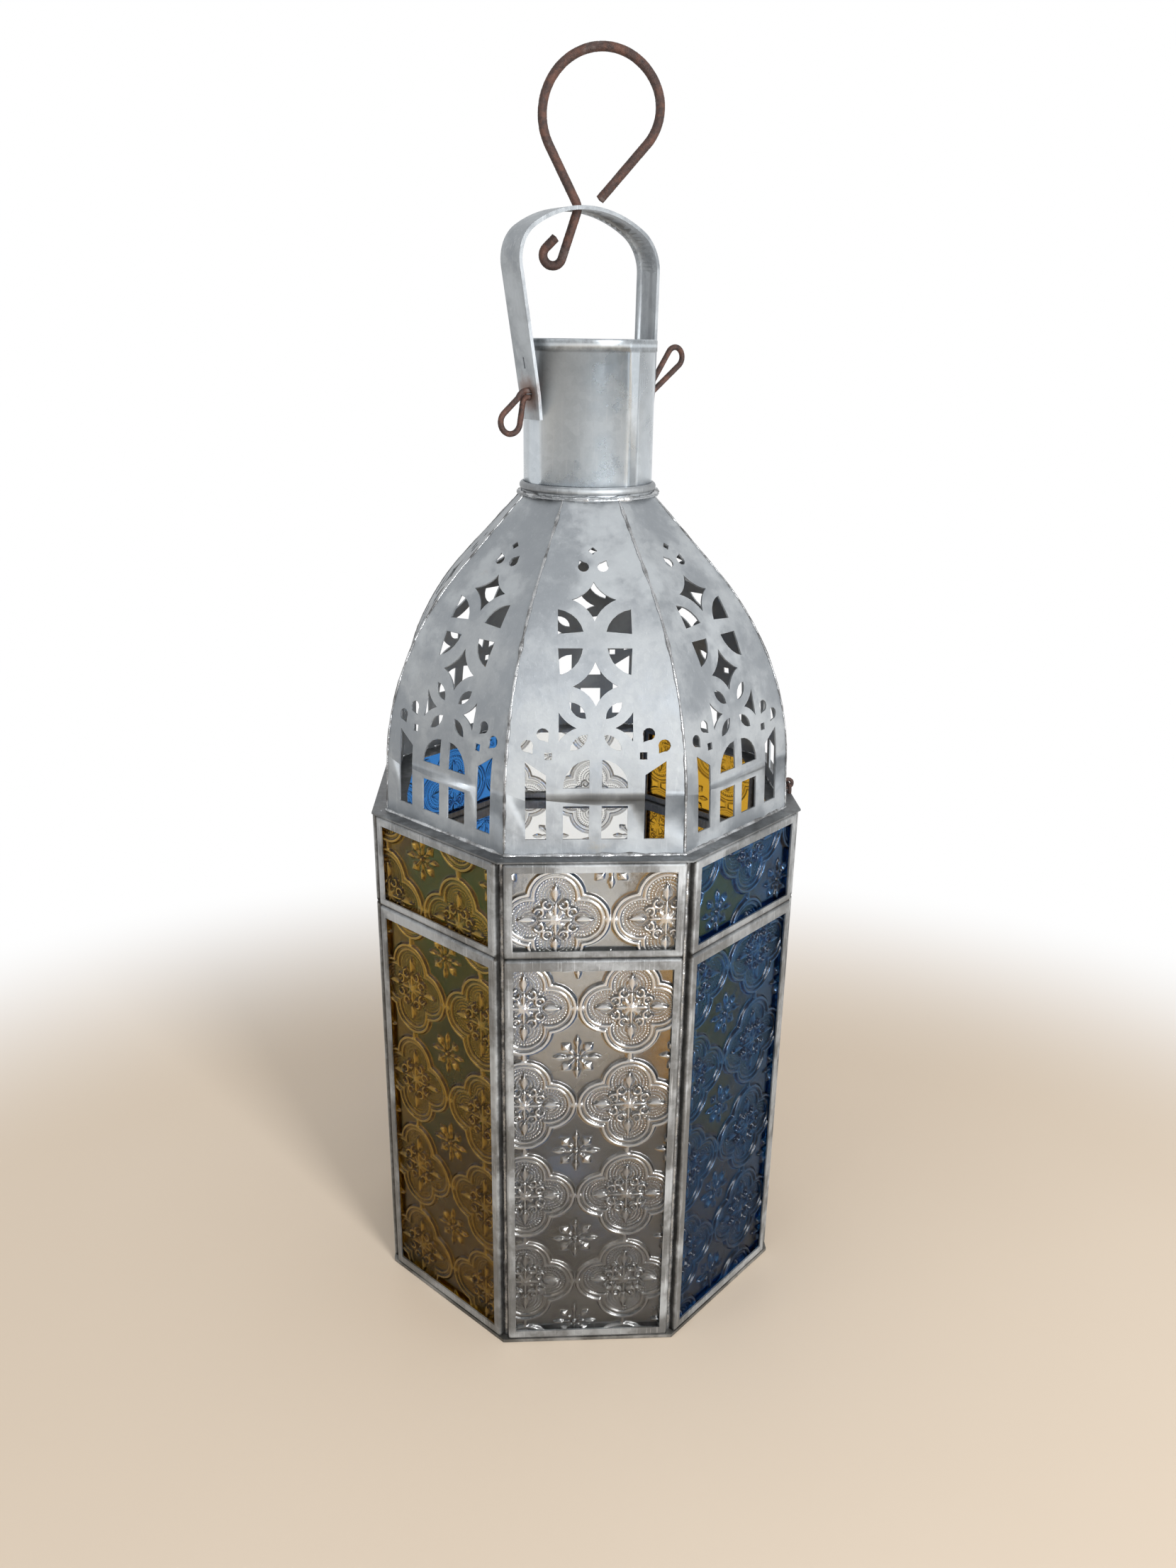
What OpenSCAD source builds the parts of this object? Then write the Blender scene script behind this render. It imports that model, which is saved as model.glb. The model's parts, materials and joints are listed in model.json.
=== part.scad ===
// Eight-sided candle lantern of soldered tin and pressed glass: framed panes on a
// folded base, a ledge, a dome of eight pierced gores, a chimney, a strap handle
// that swings on two wire pins, and a wire hook to hang it by. Millimetres, +Z up,
// the origin at the middle of the base, the front pane facing -Y.

/* [Body] */
// Width of the body across its corners
body_corner_w = 168; // [150:1:200]
// Height of the lower row of pane frames
lower_tier_h = 162.5; // [120:0.5:220]
// Height of the upper row of pane frames
upper_tier_h = 35.2; // [28:0.1:60]
// Thickness of the tin sheet
sheet_t = 0.6; // [0.5:0.05:0.7]

/* [Pane frames] */
// Outside radius of the folds along a frame's edges
fold_r = 1.2; // [0.9:0.05:1.4]
// Width of the channel at the sides of a pane
side_strip_w = 3; // [2.6:0.1:5]
// Width of the channel at the foot of a lower pane
lower_foot_strip_w = 3.75; // [2.6:0.05:6]
// Width of the channel at the head of a lower pane
lower_head_strip_w = 4.4; // [2.6:0.1:6]
// Width of the channel at the foot of an upper pane
upper_foot_strip_w = 3; // [2.6:0.1:6]
// Width of the channel at the head of an upper pane
upper_head_strip_w = 3.4; // [2.6:0.1:6]

/* [Glass] */
// Thickness of a pane
glass_t = 3; // [2.4:0.1:4]
// Gap between a pane and its channel
glass_gap = 0.1; // [0.05:0.01:0.2]

/* [Pressed pattern] */
// Depth of the pattern pressed into a pane's outer side
relief_h = 0.9; // [0.4:0.05:1]
// Distance between two medallions across a pane
pattern_pitch_w = 37; // [34:0.5:44]
// Distance between two medallions up a pane
pattern_pitch_h = 39; // [34:0.5:44]
// Radius of a medallion's four round lobes
lobe_r = 8.6; // [7:0.1:9]
// Distance of the lobes' centres from the medallion's middle
lobe_shift = 8.3; // [7:0.1:8.5]
// Width of the raised line round a medallion
outline_w = 1.3; // [1:0.1:2]
// Reach of the cross of leaves in a medallion
cross_reach = 13.2; // [10:0.1:14]
// Reach of a rosette's leaves
rosette_reach = 7.6; // [5:0.1:8]

/* [Base] */
// Thickness of the base at its folded edge
base_hem_t = 1.3; // [1.2:0.05:1.8]
// Width of the base's folded edge
base_hem_w = 6; // [4.6:0.2:10]
// Inside radius of the candle cup
cup_r = 20; // [15:0.5:30]
// Height of the candle cup
cup_h = 12; // [8:0.5:20]

/* [Ledge and dome] */
// How far the dome's foot stands back from the body's faces
dome_setback = 5.35; // [5:0.05:8]
// How far the ledge reaches in behind the dome's foot
ledge_lap = 5.6; // [2:0.1:12]
// Height of the dome's straight skirt, along the sheet
skirt_l = 19; // [12:0.5:30]
// Lean of the skirt from upright, in degrees
skirt_lean = 2.5; // [1:0.5:5]
// Radius that the gores are bent to
dome_bend_r = 105; // [90:1:115]
// Lean of the dome's top from upright, in degrees
top_lean = 42; // [39:0.5:45]

/* [Chimney] */
// Outside radius of the chimney
chimney_r = 22.6; // [19:0.1:26]
// Height of the chimney above the dome
chimney_h = 51.2; // [42:0.1:80]
// Height of the folded rim
rim_h = 3.9; // [3:0.1:5]
// How far the folded rim stands proud of the tube
rim_proud = 0.6; // [0.5:0.05:0.8]
// Radius of the collar's bead
bead_r = 1.4; // [1.2:0.05:1.8]
// Height of the collar
collar_h = 4.4; // [4:0.1:7]
// Width of the chimney's lock seam
seam_w = 3.9; // [2.5:0.1:6]
// How far the lock seam stands proud of the tube
seam_proud = 0.6; // [0.4:0.05:0.8]
// Direction of the lock seam round the chimney, in degrees
seam_azimuth = -52; // [-60:1:-30]

/* [Handle] */
// Direction that the handle's pins point in, in degrees
handle_azimuth = 33; // [20:1:50]
// Width of the handle's strap
strap_w = 11.2; // [10:0.1:14]
// Width of the strap's folded edges
strap_hem_w = 2.5; // [1.6:0.1:2.6]
// Height of the pins below the chimney's rim
pivot_drop = 17.6; // [16.5:0.1:18]
// Length of strap below the pins
strap_tail = 8.2; // [5:0.1:8.4]
// Gap between the strap's folded ends and the chimney
strap_gap = 0.35; // [0.3:0.05:0.6]
// Half the handle's greatest width, outside
handle_half_w = 28.6; // [28.5:0.1:34]
// Height of the handle above the chimney's rim
handle_rise = 40.4; // [36:0.1:70]
// Lean of the bent handle to its left, in degrees
handle_lean = 4.6; // [0:0.1:4.8]
// Radius of the handle's shoulders
shoulder_r = 13.6; // [12:0.1:16]
// Height of the handle's arch above its shoulders' centres
arch_rise = 17.8; // [16.5:0.1:24]
// Length of the punched slit above the left pin
slit_l = 3.6; // [2:0.1:5]

/* [Handle pins] */
// Thickness of the pins' wire
pin_wire_d = 2; // [1.6:0.1:2.4]
// Width of the left pin's eye, between wire centres
left_eye_w = 7.6; // [6:0.1:10]
// Flare of the left pin's eye, in degrees
left_eye_flare = 20; // [15:1:25]
// Angle that the left pin's eye hangs down by
left_eye_tilt = -60; // [-65:1:-40]
// Width of the right pin's eye, between wire centres
right_eye_w = 6.8; // [6:0.1:9]
// Flare of the right pin's eye, in degrees
right_eye_flare = 9; // [7:0.5:14]
// Angle that the right pin's eye stands up by
right_eye_tilt = 46; // [30:1:50]

/* [Hanging hook] */
// Thickness of the hook's wire
hook_wire_d = 3; // [2.4:0.1:3.6]
// Direction of the hook's plane, in degrees
hook_azimuth = -4; // [-30:1:30]
// Distance of the hook's hole from the strap's middle
hook_hole_shift = 1; // [0:0.1:3]
// Radius of the round top of the hook's loop
loop_r = 19; // [14:0.5:24]
// Radius of the hook's bend on its open side
loop_side_r = 15; // [12:0.5:18]
// Length of the straight wire between the hole and the loop
loop_neck_l = 18.3; // [18:0.1:22]
// Length of the straight wire at the loop's open end
loop_end_l = 22; // [15:0.1:22.4]
// Length of straight wire below the hole
curl_neck_l = 14.4; // [9:0.1:15]
// Radius of the curl at the hook's foot
curl_r = 3.2; // [2.6:0.1:4]
// Length of straight wire at the curl's end
curl_end_l = 4.4; // [1:0.1:5]

/* [Door] */
// Gap between the door and what is round it
door_gap = 0.5; // [0.4:0.05:0.8]
// Radius of the hinge pins
hinge_pin_r = 0.8; // [0.6:0.05:0.9]
// Length of one hinge knuckle
knuckle_h = 6; // [4:0.2:12]
// Width of a hinge leaf, from the hinge line
hinge_leaf_w = 5.2; // [4.8:0.1:6.5]
// Height of the lower hinge above the base
low_hinge_rise = 24; // [10:1:40]
// Depth of the upper hinge below the lower row's head
high_hinge_drop = 36; // [20:1:50]

/* [Latch] */
// Thickness of the latch's wire
latch_wire_d = 1.4; // [1.2:0.1:1.6]
// Distance of the latch from the middle of the door
latch_shift = -11.5; // [-14:0.1:-11]
// Width of the staple, between wire centres
staple_w = 8; // [6:0.1:10]
// How far the closed latch laps over the door's head
latch_lap = 3.4; // [2:0.1:5]
// Angle that the latch turns through from closed to open
latch_turn = 202; // [190:0.5:203]

/* [Hidden] */
$fn = 96;
sides = 8;
side_angle = 360 / sides;
half_side = side_angle / 2;
over = 2;

// Body sizes that follow from the driving ones
corner_r = body_corner_w / 2;
face_dist = corner_r * cos(half_side);
corner_x = face_dist * tan(half_side);
frame_depth = glass_t + 2 * glass_gap + 2 * sheet_t;
frame_w = 2 * (face_dist - frame_depth) * tan(half_side);
fold_inner_r = fold_r - sheet_t;
glass_edge = fold_r + glass_gap;
lower_z = base_hem_t;
upper_z = lower_z + lower_tier_h;
ledge_z = upper_z + upper_tier_h;
ledge_top_z = ledge_z + sheet_t;

// The gore's outer line, from its foot up: a straight skirt, a bend and a straight top
dome_z = ledge_top_z;
dome_foot_r = face_dist - dome_setback;
neck_gap = 0.3;
neck_r = chimney_r + neck_gap;
skirt_end_r = dome_foot_r - skirt_l * sin(skirt_lean);
skirt_end_z = dome_z + skirt_l * cos(skirt_lean);
bend_centre_r = skirt_end_r - dome_bend_r * cos(skirt_lean);
bend_centre_z = skirt_end_z - dome_bend_r * sin(skirt_lean);
bend_end_r = bend_centre_r + dome_bend_r * cos(top_lean);
bend_end_z = bend_centre_z + dome_bend_r * sin(top_lean);
bend_l = dome_bend_r * (top_lean - skirt_lean) * PI / 180;
top_l = (bend_end_r - neck_r) / sin(top_lean);
dome_top_z = bend_end_z + top_l * cos(top_lean);
gore_l = skirt_l + bend_l + top_l;
gore_half_w = dome_foot_r * tan(half_side);

// Lean, radius and height of the gore at a length along its line
function gore_lean(t) = t < skirt_l ? skirt_lean
    : t > skirt_l + bend_l ? top_lean
    : skirt_lean + (t - skirt_l) / dome_bend_r * 180 / PI;
function gore_r(t) = t < skirt_l ? dome_foot_r - t * sin(skirt_lean)
    : t > skirt_l + bend_l ? bend_end_r - (t - skirt_l - bend_l) * sin(top_lean)
    : bend_centre_r + dome_bend_r * cos(gore_lean(t));
function gore_z(t) = t < skirt_l ? dome_z + t * cos(skirt_lean)
    : t > skirt_l + bend_l ? bend_end_z + (t - skirt_l - bend_l) * cos(top_lean)
    : bend_centre_z + dome_bend_r * sin(gore_lean(t));

// Piercings as shares of the gore's half width across, and of its length upwards
square_share = [0.068, 0.354];
square_rise_share = [0.045, 0.138];
arch_rise_share = [0.187, 0.263];
tall_share = [0.538, 0.765];
tall_rise_share = [0.045, 0.222, 0.259];
comma_shares = [[0.572, 0.330], [0.742, 0.300]];
comma_size_share = 0.068;
small_square_share = [0.515, 0.273];
small_square_size_share = 0.04;
low_petal_shares = [[0.09, 0.329], [0.278, 0.287]];
high_petal_shares = [[0.107, 0.370], [0.284, 0.413]];
petal_swell_share = 0.055;
side_triangle_shares = [[0.401, 0.387], [0.21, 0.346], [0.401, 0.311]];
triangle_hollow_share = 0.02;
comma_tail_share = 1.55;
diamond_side_share = 0.244;
low_diamond_rise_share = [0.402, 0.454, 0.519];
high_diamond_rise_share = [0.629, 0.691, 0.744];
diamond_hollow_share = 0.037;
low_fan_shares = [[0.134, 0.555], [0.401, 0.555], [0.384, 0.484]];
high_fan_shares = [[0.124, 0.600], [0.401, 0.594], [0.397, 0.663]];
fan_swell_share = 0.06;
top_comma_share = [0.107, 0.790];
top_comma_size_share = 0.062;
top_diamond_rise_share = 0.84;
top_diamond_size_share = 0.05;

// How far the handle's lean carries a point of its line to the left, above the pins
function lean_shift(z) = tan(handle_lean) * max(z - pivot_z, 0);

// Chimney and collar
chimney_top_z = dome_top_z + chimney_h;
collar_flange_r = neck_r / cos(half_side) + neck_gap;
pin_play = 0.1;
pin_hole_r = pin_wire_d + pin_play;

// Handle, in its own plane: u across, z up
pivot_z = chimney_top_z - pivot_drop;
strap_end_z = pivot_z - strap_tail;
strap_end_u = chimney_r + strap_gap + 2 * sheet_t;
shoulder_u = handle_half_w - shoulder_r;
crown_z = chimney_top_z + handle_rise;
shoulder_z = crown_z - arch_rise;
arch_reach = (pow(shoulder_u, 2) + pow(arch_rise - shoulder_r, 2)) / (2 * (arch_rise - shoulder_r));
arch_r = arch_reach + shoulder_r;
arch_half_angle = asin(shoulder_u / arch_reach);
arm_run = norm([shoulder_u - strap_end_u, shoulder_z - strap_end_z]);
arm_lean = asin(shoulder_r / arm_run) - atan2(strap_end_u - shoulder_u, shoulder_z - strap_end_z);
arm_l = sqrt(pow(arm_run, 2) - pow(shoulder_r, 2));
hook_hole_r = hook_wire_d * 0.83;
hook_hole_z = crown_z - sheet_t / 2 - arch_r + sqrt(pow(arch_r, 2) - pow(hook_hole_shift, 2));
hook_hole_u = -hook_hole_shift - lean_shift(hook_hole_z);
strap_pivot_u = strap_end_u + strap_tail * tan(arm_lean);
slit_w = sheet_t;
slit_rise = 4 * pin_wire_d;

// How far the balls that join a wire's runs and bends stand proud of it
ball_proud = 0.03;

// Pins: the legs lie one above the other, and spread along the inside of the tube
pin_pitch = pin_wire_d + pin_play;
pin_bend_r = 0.75 * pin_wire_d;
pin_tail_l = 2.5 * pin_wire_d;
pin_seat = 0.1 * pin_wire_d;
pin_start_u = chimney_r - sheet_t - pin_seat - pin_wire_d / 2;
pin_shank_l = strap_pivot_u + pin_wire_d / 3 - pin_start_u - pin_bend_r;
eye_flare_r = 1.5 * pin_wire_d;

// Hook: half of the bend in the hole lies above it and half below
hook_bend_r = 1.5 * hook_wire_d;
hook_half_bend = 23.6;
hook_heading = 94.6;
loop_turn = 181;
loop_side_turn = 69.7;
curl_turn = 207;

// Door and hinges
door_w = frame_w - 2 * door_gap;
hinge_play = 0.05;
knuckle_bore_r = hinge_pin_r + hinge_play;
knuckle_r = knuckle_bore_r + sheet_t;
knuckle_gap = 0.3;
hinge_head_r = 1.9 * hinge_pin_r;
hinge_head_h = hinge_pin_r;
low_hinge_z = lower_z + low_hinge_rise;
high_hinge_z = upper_z - high_hinge_drop;

// Latch: the hook's eye is loose round the staple's bar
latch_wire_r = latch_wire_d / 2;
latch_play = 0.2;
latch_eye_r = latch_wire_d + latch_play;
latch_clear = 0.3;
latch_x = face_dist + latch_clear + latch_wire_r - latch_eye_r;
latch_z = ledge_top_z + latch_eye_r + latch_wire_r + latch_clear;
latch_leg_l = latch_z - (ledge_z - door_gap) + latch_lap;
latch_eye_turn = 285;
staple_bend_r = latch_wire_d;

// Where a medallion's middle lies on each pane, across from the pane's middle line and
// up from the base, as shares of the pattern's pitches
lower_pattern_shares = [[0.36, 0.7], [0.335, 0.846], [0.395, 0.61], [0.592, 0.915],
    [0.789, 0.221], [0.986, 0.526], [0.184, 0.831], [0.587, 0.436]];
upper_pattern_shares = [[0.649, 0.564], [0.095, 0.974], [0.395, 0.61], [0.592, 0.915],
    [0.789, 0.221], [0.986, 0.526], [0.184, 0.831], [0.311, 0.333]];
cross_waist_share = 0.2;
rosette_waist_share = 0.55;
rosette_diagonal_share = 0.93;
pattern_bar_w = 1.4 * outline_w;

// Faces in turn, from the front round to the right, and the door a quarter turn round
face_names = ["front", "front_right", "right", "back_right", "back", "back_left", "left", "front_left"];
door_face = sides / 4;
fixed_faces = [for (k = [0 : sides - 1]) if (k != door_face) k];
glass_colours = ["silver", "steelblue", "silver", "goldenrod", "silver", "steelblue", "silver", "goldenrod"];

// Turns what is drawn for the front so that it stands on face k
module on_face(k) {
    rotate([0, 0, side_angle * k]) children();
}

// An upright eight-sided prism whose corners lie at a radius
module octagon_prism(radius, height) {
    rotate([0, 0, half_side]) cylinder(r = radius, h = height, $fn = sides);
}

// A rectangle with round corners, its lower left corner at the origin
module rounded_rectangle(width, height, radius) {
    translate([radius, 0]) square([width - 2 * radius, height]);
    translate([0, radius]) square([width, height - 2 * radius]);
    for (x = [radius, width - radius], y = [radius, height - radius])
        translate([x, y]) circle(r = radius);
}

// A flat block with all its long edges rounded and its corners mitred: what is
// common to an upright bar and a level bar of the same rounded depth
module folded_block(width, depth, height, radius) {
    intersection() {
        translate([-width / 2, 0, 0]) linear_extrude(height) rounded_rectangle(width, depth, radius);
        translate([-width / 2, 0, 0]) rotate([90, 0, 90]) linear_extrude(width)
            rounded_rectangle(depth, height, radius);
    }
}

// A frame of folded channel, open towards the pane that it holds
module pane_frame(width, height, foot_w, head_w) {
    difference() {
        folded_block(width, frame_depth, height, fold_r);
        translate([0, sheet_t, sheet_t])
            folded_block(width - 2 * sheet_t, frame_depth - 2 * sheet_t, height - 2 * sheet_t, fold_inner_r);
        translate([side_strip_w - width / 2, -over, foot_w])
            cube([width - 2 * side_strip_w, frame_depth + 2 * over, height - foot_w - head_w]);
    }
}

// A closed outline that goes out to tips and in to waists by turns, the tips as far out
// as the reaches say
module star(reaches, waist_r) {
    tips = len(reaches);
    polygon([for (i = [0 : tips - 1], half = [0, 1]) let (a = (i + half / 2) * 360 / tips)
        (half == 0 ? reaches[i] : waist_r) * [cos(a), sin(a)]]);
}

// The four round lobes of a medallion
module lobes(radius) {
    for (a = [0 : 90 : 270]) translate(lobe_shift * [cos(a), sin(a)]) circle(r = radius);
}

// A medallion's raised line and its cross, and the rosette up and to the right of it,
// with the two bars that join the line to the next medallions
module pattern_cell() {
    line_r = lobe_r + outline_w / 2;
    bar_l = outline_w;
    difference() {
        lobes(line_r);
        lobes(line_r - outline_w);
    }
    star([for (i = [0 : 3]) cross_reach], cross_waist_share * cross_reach);
    translate([pattern_pitch_w, pattern_pitch_h] / 2)
        star([for (i = [0 : 7]) rosette_reach * (i % 2 == 0 ? 1 : rosette_diagonal_share)],
            rosette_waist_share * rosette_reach);
    translate([lobe_shift + line_r - outline_w / 2, -pattern_bar_w / 2])
        square([pattern_pitch_w - 2 * (lobe_shift + line_r) + bar_l, pattern_bar_w]);
    translate([-pattern_bar_w / 2, lobe_shift + line_r - outline_w / 2])
        square([pattern_bar_w, pattern_pitch_h - 2 * (lobe_shift + line_r) + bar_l]);
}

// The pattern over a rectangle, from its lower left and upper right corners
module pattern(places, low, high) {
    shift = [places[0] * pattern_pitch_w, places[1] * pattern_pitch_h];
    for (i = [floor((low[0] - shift[0]) / pattern_pitch_w) : floor((high[0] - shift[0]) / pattern_pitch_w) + 1],
        j = [floor((low[1] - shift[1]) / pattern_pitch_h) : floor((high[1] - shift[1]) / pattern_pitch_h) + 1])
        translate([shift[0] + i * pattern_pitch_w, shift[1] + j * pattern_pitch_h]) pattern_cell();
}

// A pane that fits in the channel of a frame of this size: a slab, and the pattern that
// stands on its outer side
module pane(k, z, width, height, places) {
    size = [width - 2 * glass_edge, height - 2 * glass_edge];
    low = [-size[0] / 2, z + glass_edge];
    slab_t = glass_t - relief_h;
    color(glass_colours[k], 0.5) on_face(k) translate([0, sheet_t + glass_gap - face_dist, 0]) {
        translate([low[0], relief_h, low[1]]) cube([size[0], slab_t, size[1]]);
        translate([0, relief_h + slab_t / 2, 0]) rotate([90, 0, 0]) linear_extrude(relief_h + slab_t / 2)
            intersection() {
                translate(low) square(size);
                pattern(places, low, low + size);
            }
    }
}

// Puts what is drawn on the front at a face and a height
module at_face(k, z) {
    on_face(k) translate([0, -face_dist, z]) children();
}

module base_plate() {
    color("slategray") {
        octagon_prism(corner_r, sheet_t);
        difference() {
            octagon_prism(corner_r, base_hem_t);
            translate([0, 0, sheet_t])
                octagon_prism(corner_r - base_hem_w / cos(half_side), base_hem_t + over);
        }
    }
}

module candle_cup() {
    color("gainsboro") translate([0, 0, sheet_t]) difference() {
        cylinder(r = cup_r + sheet_t, h = cup_h);
        translate([0, 0, sheet_t]) cylinder(r = cup_r, h = cup_h + over);
    }
}

module lower_frame(k) {
    color("lightslategray") at_face(k, lower_z)
        pane_frame(frame_w, lower_tier_h, lower_foot_strip_w, lower_head_strip_w);
}

module upper_frame(k) {
    color("lightslategray") at_face(k, upper_z)
        pane_frame(frame_w, upper_tier_h, upper_foot_strip_w, upper_head_strip_w);
}

module lower_glass(k) {
    pane(k, lower_z, frame_w, lower_tier_h, lower_pattern_shares[k]);
}

module upper_glass(k) {
    pane(k, upper_z, frame_w, upper_tier_h, upper_pattern_shares[k]);
}

// The door is a lower and an upper frame in one, smaller all round by the door's gap
module door_frame() {
    color("lightslategray") {
        at_face(door_face, lower_z + door_gap)
            pane_frame(door_w, lower_tier_h - door_gap, lower_foot_strip_w - door_gap, lower_head_strip_w);
        at_face(door_face, upper_z)
            pane_frame(door_w, upper_tier_h - door_gap, upper_foot_strip_w, upper_head_strip_w - door_gap);
    }
}

module door_glass_lower() {
    pane(door_face, lower_z + door_gap, door_w, lower_tier_h - door_gap, lower_pattern_shares[door_face]);
}

module door_glass_upper() {
    pane(door_face, upper_z, door_w, upper_tier_h - door_gap, upper_pattern_shares[door_face]);
}

module ledge() {
    color("slategray") translate([0, 0, ledge_z]) difference() {
        octagon_prism(corner_r, sheet_t);
        translate([0, 0, -over])
            octagon_prism((dome_foot_r - ledge_lap) / cos(half_side), sheet_t + 2 * over);
    }
}

// The gore's sheet seen from its edge: radius to the right, height upwards
module gore_section() {
    inner_foot_r = dome_foot_r - sheet_t / cos(skirt_lean);
    inner_neck_r = neck_r - sheet_t / cos(top_lean);
    inner_skirt = [skirt_end_r - sheet_t * cos(skirt_lean), skirt_end_z - sheet_t * sin(skirt_lean)];
    inner_bend = [bend_end_r - sheet_t * cos(top_lean), bend_end_z - sheet_t * sin(top_lean)];
    polygon([[dome_foot_r, dome_z], [skirt_end_r, skirt_end_z], inner_skirt, [inner_foot_r, dome_z]]);
    polygon([[bend_end_r, bend_end_z], [neck_r, dome_top_z], [inner_neck_r, dome_top_z], inner_bend]);
    translate([bend_centre_r, bend_centre_z]) intersection() {
        difference() {
            circle(r = dome_bend_r);
            circle(r = dome_bend_r - sheet_t);
        }
        sector(2 * dome_bend_r, skirt_lean, top_lean);
    }
}

// A wedge with its point at the origin, between two angles less than 90 degrees apart
module sector(radius, from_angle, to_angle) {
    polygon([[0, 0], radius * [cos(from_angle), sin(from_angle)],
        radius * [cos((from_angle + to_angle) / 2), sin((from_angle + to_angle) / 2)],
        radius * [cos(to_angle), sin(to_angle)]]);
}

// Points of an arc from p to q that swells to the left by a height, q left out
function arc_points(p, q, swell, steps = 5) =
    let (chord = norm(q - p), half = atan(2 * abs(swell) / chord) * 2, r = chord / 2 / sin(half),
        along = (q - p) / chord, left = [-along[1], along[0]] * sign(swell),
        centre = (p + q) / 2 - left * r * cos(half))
    [for (i = [0 : steps - 1]) let (a = half * (2 * i / steps - 1))
        centre + r * (along * sin(a) + left * cos(a))];

// The same arc between points of the gore, straight where it has no swell
function gore_edge(p, q, swell) = swell == 0 ? [p] : arc_points(p, q, swell);

// A closed outline through corners, with the same swell on each side
function swollen(corners, swell) = [for (i = [0 : len(corners) - 1])
    each gore_edge(corners[i], corners[(i + 1) % len(corners)], swell)];

// A place on the gore from its shares, and the same on the other side
function gore_place(share, side = 1) = [share[0] * gore_half_w * side, share[1] * gore_l];

// Punches an outline through the gore: its points are measured across and along the
// sheet, and it is struck square to the sheet at the middle of its height
module punch(points) {
    lows = min([for (p = points) p[1]]);
    highs = max([for (p = points) p[1]]);
    middle = (lows + highs) / 2;
    translate([0, -gore_r(middle), gore_z(middle)]) rotate([90 - gore_lean(middle), 0, 0])
        translate([0, 0, -sheet_t - over]) linear_extrude(sheet_t + 2 * over)
            polygon([for (p = points) [p[0], p[1] - middle]]);
}

// The windows at the gore's foot: two panes under a round arch, and a tall one beside
module window_piercings(side) {
    inner_s = square_share[0] * gore_half_w * side;
    outer_s = square_share[1] * gore_half_w * side;
    low_t = square_rise_share[0] * gore_l;
    high_t = square_rise_share[1] * gore_l;
    arch_low_t = arch_rise_share[0] * gore_l;
    arch_high_t = arch_rise_share[1] * gore_l;
    arch_w = outer_s - inner_s;
    arch_h = arch_high_t - arch_low_t;
    tall_inner_s = tall_share[0] * gore_half_w * side;
    tall_outer_s = tall_share[1] * gore_half_w * side;
    punch([[inner_s, low_t], [outer_s, low_t], [outer_s, high_t], [inner_s, high_t]]);
    punch(concat([[inner_s, arch_low_t]],
        [for (a = [0 : 15 : 90]) [inner_s + arch_w * cos(a), arch_low_t + arch_h * sin(a)]]));
    punch([[tall_inner_s, tall_rise_share[0] * gore_l], [tall_outer_s, tall_rise_share[0] * gore_l],
        [tall_outer_s, tall_rise_share[2] * gore_l], [tall_inner_s, tall_rise_share[1] * gore_l]]);
}

// A comma: a round drop with a pointed tail at an angle
module comma_piercing(place, radius, tail_angle) {
    punch([for (a = [0 : 30 : 330])
        place + radius * (a == 0 ? comma_tail_share : 1) * [cos(a + tail_angle), sin(a + tail_angle)]]);
}

// The leaves, triangles and commas above the windows
module flower_piercings(side) {
    comma_size = comma_size_share * gore_half_w;
    small_size = small_square_size_share * gore_half_w;
    swell = petal_swell_share * gore_half_w;
    triangle = [for (share = side_triangle_shares) gore_place(share, side)];
    hollow = side * triangle_hollow_share * gore_half_w;
    for (share = comma_shares) comma_piercing(gore_place(share, side), comma_size, side > 0 ? 235 : 305);
    small = gore_place(small_square_share, side);
    punch([for (c = [[-1, -1], [1, -1], [1, 1], [-1, 1]]) small + c * small_size]);
    for (pair = [low_petal_shares, high_petal_shares])
        punch(swollen([gore_place(pair[0], side), gore_place(pair[1], side)], -swell));
    punch(concat(arc_points(triangle[0], triangle[1], hollow), arc_points(triangle[1], triangle[2], hollow),
        [triangle[2]]));
}

// The circle crossed by a bar: two fans below the bar and two above
module fan_piercings(side) {
    swell = fan_swell_share * gore_half_w;
    for (fan = [low_fan_shares, high_fan_shares]) {
        corners = [for (share = fan) gore_place(share, side)];
        up = sign(corners[0][1] - corners[2][1]) * side;
        punch(concat([corners[0]], [corners[1]], arc_points(corners[2], corners[0], up * swell)));
    }
}

// A diamond with hollow sides, on the gore's middle line
module diamond_piercing(rise_share) {
    half_w = diamond_side_share * gore_half_w;
    corners = [[0, rise_share[0] * gore_l], [half_w, rise_share[1] * gore_l],
        [0, rise_share[2] * gore_l], [-half_w, rise_share[1] * gore_l]];
    punch(swollen(corners, diamond_hollow_share * gore_half_w));
}

module dome_panel(k) {
    reach = 2 * dome_foot_r;
    top_size = top_diamond_size_share * gore_half_w;
    top_t = top_diamond_rise_share * gore_l;
    color("lightsteelblue") on_face(k) difference() {
        intersection() {
            translate([-gore_half_w, 0, 0]) rotate([90, 0, 90]) mirror([1, 0, 0])
                linear_extrude(2 * gore_half_w) gore_section();
            translate([0, 0, dome_z]) linear_extrude(dome_top_z - dome_z)
                polygon([[0, 0], reach * [-tan(half_side), -1], reach * [tan(half_side), -1]]);
        }
        for (side = [-1, 1]) {
            window_piercings(side);
            flower_piercings(side);
            fan_piercings(side);
            comma_piercing(gore_place(top_comma_share, side), top_comma_size_share * gore_half_w,
                side > 0 ? 65 : 115);
        }
        diamond_piercing(low_diamond_rise_share);
        diamond_piercing(high_diamond_rise_share);
        punch([[-top_size, top_t], [0, top_t - top_size], [top_size, top_t], [0, top_t + top_size]]);
    }
}

// A bar across the chimney along the handle's pins, to drill both walls
module pin_holes(reach) {
    translate([0, 0, pivot_z]) rotate([0, 90, handle_azimuth])
        cylinder(r = pin_hole_r, h = 2 * reach, center = true);
}

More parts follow.
